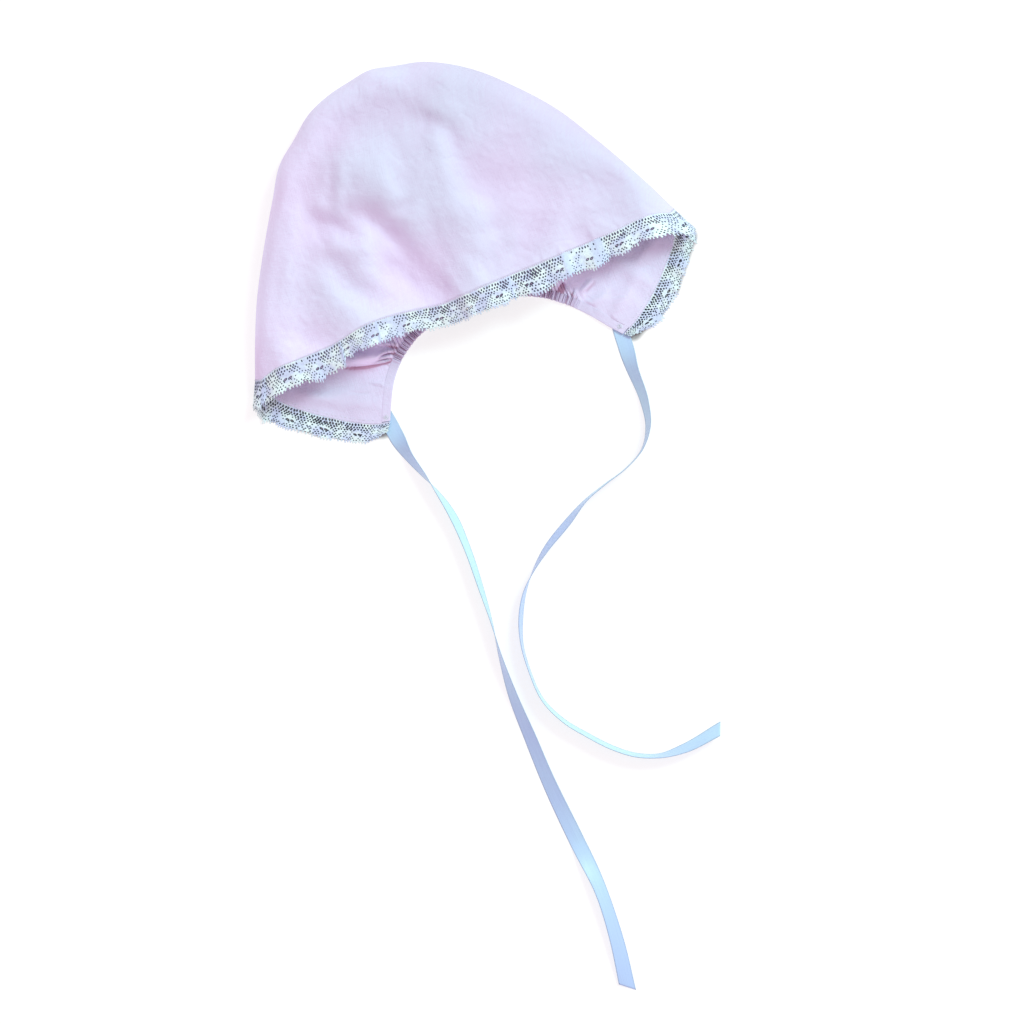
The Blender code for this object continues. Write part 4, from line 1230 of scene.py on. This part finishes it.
def cut_out(columns, rows):
    """Triangles of the part of a grid where the thread's depth is above 0. Each cell is two
    triangles, and a triangle that the edge crosses is trimmed along a straight line between the
    crossing points on its sides. Returns the places (a, v), their depths and the triangles."""
    a, v = np.meshgrid(columns, rows, indexing="ij")
    places = np.stack([a.ravel(), v.ravel()], axis=-1)
    depth = thread_depth(places[:, 0], places[:, 1])
    number = np.arange(a.size).reshape(a.shape)
    p, q, r, t = number[:-1, :-1], number[1:, :-1], number[1:, 1:], number[:-1, 1:]
    cells = np.concatenate([np.stack([p, r, q], axis=-1).reshape(-1, 3),
                            np.stack([p, t, r], axis=-1).reshape(-1, 3)])
    within = depth[cells] > 0
    count = within.sum(axis=1)

    def turned(chosen, first):
        """Chosen triangles turned so that the odd corner comes first."""
        lead = np.argmax(first[chosen], axis=1)
        return np.take_along_axis(cells[chosen], (lead[:, None] + np.arange(3)) % 3, axis=1)

    one = turned(count == 1, within)
    two = turned(count == 2, ~within)
    sides = np.concatenate([one[:, [0, 1]], one[:, [0, 2]], two[:, [0, 1]], two[:, [0, 2]]])
    low, high = sides.min(axis=1), sides.max(axis=1)
    met, which = np.unique(low * len(places) + high, return_inverse=True)
    low, high = met // len(places), met % len(places)
    share = np.clip(depth[low] / (depth[low] - depth[high]), 0.04, 0.96)[:, None]
    places = np.concatenate([places, places[low] * (1 - share) + places[high] * share])
    depth = np.concatenate([depth, np.zeros(len(met))])
    cut = which.ravel() + a.size
    one_b, one_c, two_b, two_c = np.split(cut, np.cumsum([len(one), len(one), len(two)]))
    triangles = np.concatenate([
        cells[count == 3],
        np.stack([one[:, 0], one_b, one_c], axis=-1),
        np.stack([two_b, two[:, 1], two[:, 2]], axis=-1),
        np.stack([two_b, two[:, 2], two_c], axis=-1),
    ])
    used, renumbered = np.unique(triangles, return_inverse=True)
    return places[used], depth[used], renumbered.reshape(triangles.shape)


def make_lace(name, start, end, replaced):
    """A length of the lace: the openings are cut out of a fine grid, which is laid on the band from
    the cloth edge to the free edge and given two faces that come close at each opening. Its points
    carry how far they are from an opening's rim, for the painted shade there, and how far in a tuck."""
    columns = np.linspace(start, end, int(round((end - start) / LACE_STEP)) + 1)
    rows = np.linspace(0.0, LACE_WIDTH + 0.1, int(LACE_WIDTH / LACE_STEP) + 2)
    places, depth, triangles = cut_out(columns, rows)
    a, v = places.T
    step = 0.05
    middle = lace_place(a, v)
    ahead = lace_place(a + step, v) - lace_place(a - step, v)
    down = lace_place(a, v + step) - lace_place(a, v - step)
    normal = unit(np.cross(down, ahead))
    solid = ease(depth / LACE_SOLID)
    half = (LACE_THIN + LACE_THICK * solid + CORD_THICK * raised_cord(a, v) * solid)[:, None]
    points = np.concatenate([middle + normal * half, middle - normal * half])
    total = len(middle)
    pairs = np.concatenate([triangles[:, [0, 1]], triangles[:, [1, 2]], triangles[:, [2, 0]]])
    there = pairs[:, 0] * total + pairs[:, 1]
    back = pairs[:, 1] * total + pairs[:, 0]
    border = pairs[~np.isin(there, back)]
    first, second = border.T
    walls = np.stack([second, first, first + total, second + total], axis=-1)
    maps = np.concatenate([places, places]) * MM
    # the painted rim shade: from the depth, less where the net is finer and less towards the free edge
    rim = depth / RIM - 0.35 * bolder(a) + 0.6 * ease((v - LACE_BODY + 0.5) / 0.5)
    layers = {"rim": np.tile(rim, 2), "tuck": np.tile(tucked(a), 2)}
    piece = make_piece(name, points, [triangles, triangles[:, ::-1] + total, walls],
                       LACE_FINISH, maps, layers)
    if replaced:
        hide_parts("lace_trim")
    return piece


def seam_sides(row, ahead):
    """Across the seam towards the lace, and up from both, square to the way ahead."""
    lead = row[..., 3:] - row[..., :3]
    across = unit(lead - ahead * np.sum(lead * ahead, axis=-1, keepdims=True))
    return across, np.cross(across, ahead)


def make_hem():
    """Rolled edge between cloth and lace: a round bead along the seam, pinched at every stitch."""
    run = np.arange(0.4, SEAM_RUN[-1] - 0.4, STITCH / 4)
    row = read_rows(run, SEAM_RUN, SEAM)
    line = row[:, :3].copy()
    across, up = seam_sides(row, unit(np.gradient(line, axis=0)))
    line[:, 2] = np.maximum(line[:, 2], HEM)
    pinch = HEM * (1 - HEM_PINCH * np.cos(TURN * run / STITCH))[:, None]
    angle = np.linspace(0.0, TURN, 11)[:-1]
    section = np.stack([np.cos(angle), np.sin(angle)], axis=-1)
    points, faces = tube(line, across * pinch, up * pinch, section[None])
    flat = np.concatenate([np.repeat(run, len(section)), run[[0, -1]]])
    round_it = np.concatenate([np.tile(angle * HEM, len(run)), [0.0, 0.0]])
    maps = np.stack([flat, round_it], axis=-1) * MM
    return make_piece("rolled_hem", points, faces, COTTON, maps)


def whip_stitches():
    """Middle lines of the whip stitches over the rolled edge, and the way out from it: each is bent
    half round the bead, on the side away from the surface, leaning along the seam."""
    place = np.arange(1.2, SEAM_RUN[-1] - 1.2, STITCH)
    bow = np.linspace(-0.25, np.pi + 0.25, STITCH_POINTS)
    run = place[:, None] + STITCH * STITCH_LEAN * np.linspace(-0.5, 0.5, len(bow))[None, :]
    row = read_rows(run, SEAM_RUN, SEAM)
    line = row[..., :3].copy()
    after, before = (read_rows(run + step, SEAM_RUN, SEAM)[..., :3] for step in (0.2, -0.2))
    across, up = seam_sides(row, unit(after - before))
    up = up * np.where(up[..., 2:] < -0.2, -1.0, 1.0)
    line[..., 2] = np.maximum(line[..., 2], HEM)
    out = across * np.cos(bow)[None, :, None] * STITCH_WIDE + up * np.sin(bow)[None, :, None]
    middle = line + out * (HEM + THREAD)
    middle[..., 2] = np.maximum(middle[..., 2], THREAD)
    return middle, out


def running_stitches(side):
    """Middle lines of the running stitches that hold a flap's narrow hem, HEM_IN inside its edge:
    straight, with ends that dip into the cloth."""
    s = side * np.linspace(0.985, TIE_SPLIT + 0.01, 300)
    edge, inside = (crown_surface(s, np.full(len(s), q)) for q in (-1.0, -0.96))
    lead = inside - edge
    line = edge + lead * (HEM_IN / np.linalg.norm(lead, axis=1))[:, None]
    run = run_along(line)
    share = np.linspace(0.0, 1.0, STITCH_POINTS)
    place = np.arange(1.0, run[-1] - 1.5, RUNNING)[:, None] + 0.6 * RUNNING * share
    middle = read_rows(place, run, line)
    middle[..., 2] += CLOTH / 2 + THREAD * (1.4 * np.sin(np.pi * share) - 0.5)
    return middle, np.broadcast_to([0.0, 0.0, 1.0], middle.shape)


def tack_stitches(tie):
    """Middle lines of the bar tack that holds a ribbon's sewn end: close threads across it."""
    start, corner = np.array(tie[0][:2]), np.array(tie[1][:2])
    along = unit(corner - start)
    side = np.array([-along[1], along[0]])
    share = np.linspace(-1.0, 1.0, STITCH_POINTS)
    lean = np.array([1.0, -1.0] * TACK_THREADS)[:TACK_THREADS, None]
    down = (np.arange(TACK_THREADS) * TACK_STEP)[:, None] + TACK_LEAN * lean * share + TACK_FROM
    plan = start + down[..., None] * along + (share * TACK_WIDE / 2)[None, :, None] * side
    high = over_ties(plan[..., 0], plan[..., 1]) + CASING_FLAT + THREAD * (1.2 - 1.6 * share ** 4)
    middle = np.concatenate([plan, high[..., None]], axis=-1)
    return middle, np.broadcast_to([0.0, 0.0, 1.0], middle.shape)


def make_stitches():
    """All the sewing that shows, in one mesh: each stitch is a short round thread with flat ends."""
    sewn = [whip_stitches(), running_stitches(-1.0), running_stitches(1.0),
            tack_stitches(LEFT_TIE), tack_stitches(RIGHT_TIE)]
    middle, out = (np.concatenate(part) for part in zip(*sewn))
    heading = unit(np.gradient(middle, axis=1))
    side = unit(np.cross(heading, out))
    other = np.cross(side, heading)
    angle = np.linspace(0.0, TURN, 6)[:-1]
    rings = (middle[:, :, None] + side[:, :, None] * (THREAD * np.cos(angle))[:, None]
             + other[:, :, None] * (THREAD * np.sin(angle))[:, None])
    count, length, around = rings.shape[:3]
    one = grid_quads(length, around, closed=True)
    ends = np.array([list(range(around)), [(length - 1) * around + k for k in range(around)][::-1]])
    shift = (np.arange(count) * length * around)[:, None, None]
    faces = [(one[None] + shift).reshape(-1, 4), (ends[None] + shift).reshape(-1, around)]
    return make_piece("seam_stitches", rings.reshape(-1, 3), faces, THREAD_FINISH)


def make_casing():
    """Neck casing: a soft flat tube along the neck edge, drawn up on its elastic. Its height and its
    free edge follow the pleats, and its inner edge sinks into the cloth that it is folded from."""
    count, around = 1150, 24
    share = np.linspace(0.004, 0.996, count)
    shirred = gathered(share)
    pleat = pleat_wave(share)
    edge = neck_edge(share)
    inner = casing_inner(share, CASING)
    out = unit(edge - inner)
    edge = edge + out * (0.50 * (pleat - 0.6) * shirred)[:, None]
    angle = np.linspace(0.0, TURN, around + 1)[:-1]
    # flattened round: the width goes with the cosine, the height with the sine, both filled out
    across = 0.5 - 0.5 * np.sign(np.cos(angle)) * np.abs(np.cos(angle)) ** 0.8
    up = 0.5 + 0.5 * np.sign(np.sin(angle)) * np.abs(np.sin(angle)) ** 0.35
    plan = edge[:, None] + (inner - edge)[:, None] * across[None, :, None]
    high = CASING_FLAT + (shirred * pleat)[:, None] * PLEAT_HIGH * (0.72 + 0.36 * across)
    high = high - 0.45 * ease((across - 0.89) / 0.11)
    tall = over_ties(plan[..., 0], plan[..., 1]) + up[None, :] * high
    rings = np.concatenate([plan, tall[..., None]], axis=-1)
    sides = grid_quads(count, around, closed=True)
    first = np.arange(around)
    caps = [first[None], first[None, ::-1] + (count - 1) * around]
    run = run_along(edge)
    girth = run_along(rings[count // 2])
    # painted shade in the shirring's grooves, and the under layer's even painted shade
    crease = np.broadcast_to(GROOVE_DARK * (shirred * (1 - pleat))[:, None], rings.shape[:2])
    layers = {"crease": crease, "deep": np.full(rings.shape[:2], UNDER_PAINTED_SHADE)}
    piece = make_piece("shirred_casing", rings.reshape(-1, 3), [sides, *caps], COTTON,
                       crossed(run, girth) * MM, layers)
    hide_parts("neck_casing")
    return piece


# ------------------------------------------------------------------ ribbons
def ribbon_route(table, count):
    """Middle line of a ribbon, resting on the surface at every roll, and its two side directions."""
    row = through(table)(np.linspace(0.0, 1.0, count))
    plan, roll = row[:, :2], np.radians(row[:, 2])
    ahead = unit(np.gradient(plan, axis=0))
    side = np.stack([-ahead[:, 1], ahead[:, 0], np.zeros(count)], axis=1)
    up = np.array([0.0, 0.0, 1.0])
    across = side * np.cos(roll)[:, None] + up * np.sin(roll)[:, None]
    face = -side * np.sin(roll)[:, None] + up * np.cos(roll)[:, None]
    high = RIBBON_WIDTH / 2 * np.abs(np.sin(roll)) + RIBBON / 2 * np.abs(np.cos(roll))
    return np.column_stack([plan, high]), across, face


def make_ribbon(name, table, tones, node):
    """Satin ribbon: a strip carried along its route, a little thicker at its two woven edges and cut
    on a slant at its free end."""
    count, rows = 300, 17
    line, across, face = ribbon_route(table, count)
    share = np.linspace(-1.0, 1.0, rows)
    grid = line[:, None] + across[:, None] * (share * RIBBON_WIDTH / 2)[None, :, None]
    run = run_along(line)
    ahead = unit(np.gradient(line, axis=0))
    ahead[:, 2] = 0.0
    level = across[:, 1] * ahead[:, 0] - across[:, 0] * ahead[:, 1]
    slant = SLANT * ease(1 - (run[-1] - run) / SLANT_FROM) * level
    grid = grid + ahead[:, None] * (slant[:, None] * share)[..., None]
    edge = np.exp(-((1 - np.abs(share)) / 0.08) ** 2)
    thick = RIBBON * (0.7 + 0.5 * edge)
    points, faces = two_sided(grid, thick[None, :])
    points[:, 2] = np.maximum(points[:, 2], 0.0)
    maps = crossed(run, share * RIBBON_WIDTH / 2) * MM
    # the painted sheen of each stretch along the run
    tone = np.interp(run / run[-1], *np.array(tones).T)
    piece = make_piece(name, points, [faces], SATIN, np.tile(maps, (2, 1)),
                       {"tone": np.tile(np.repeat(tone, rows), 2)})
    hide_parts(node)
    return piece


# ------------------------------------------------------------------ put together
set_camera()
set_light()
COTTON = cotton("soft_cotton", COTTON_PALE, COTTON_DEEP)
SATIN = satin("satin_ribbon")
LACE_FINISH = lace_thread("lace_thread")
THREAD_FINISH = sewing_thread("sewing_thread", THREAD_WHITE)

floor_mesh = bpy.data.meshes.new("floor")
floor_corners = [(FLOOR_HALF * x, FLOOR_HALF * y, 0.0) for x, y in ((-1, -1), (1, -1), (1, 1), (-1, 1))]
floor_mesh.from_pydata(floor_corners, [], [(0, 1, 2, 3)])
FLOOR = Finish("pale_floor", FLOOR_GREY, Roughness=0.9, Specular_IOR_Level=0.2,
               Emission_Strength=FLOOR_GLOW)
# the surface glows evenly, except along the lines under the flaps' lace, where a painted shadow turns its
# glow off
FLOOR.feed("Emission Color", FLOOR.blend(FLOOR.near_lines(SHADOW_UNDER_LACE), (1.0, 1.0, 1.0), (0.0, 0.0, 0.0)))
floor_mesh.materials.append(FLOOR.material)
floor = bpy.data.objects.new("floor", floor_mesh)
bpy.context.scene.collection.objects.link(floor)

SEAM = face_edge()
SEAM_RUN = run_along(SEAM[:, :3])
crown_top, crown_under = make_crown()
LACE_ENDS = (0.0, *LACE_CUTS, SEAM_RUN[-1])
LACE_NAMES = ("lace_left_flap", "lace_front_left", "lace_front_right", "lace_right_flap")
laces = [make_lace(name, LACE_ENDS[k], LACE_ENDS[k + 1], k == 0) for k, name in enumerate(LACE_NAMES)]
rolled_hem = make_hem()
seam_stitches = make_stitches()
casing = make_casing()
ribbon_left = make_ribbon("ribbon_left", LEFT_TIE, LEFT_SHEEN, "tie_left")
ribbon_right = make_ribbon("ribbon_right", RIGHT_TIE, RIGHT_SHEEN, "tie_right")
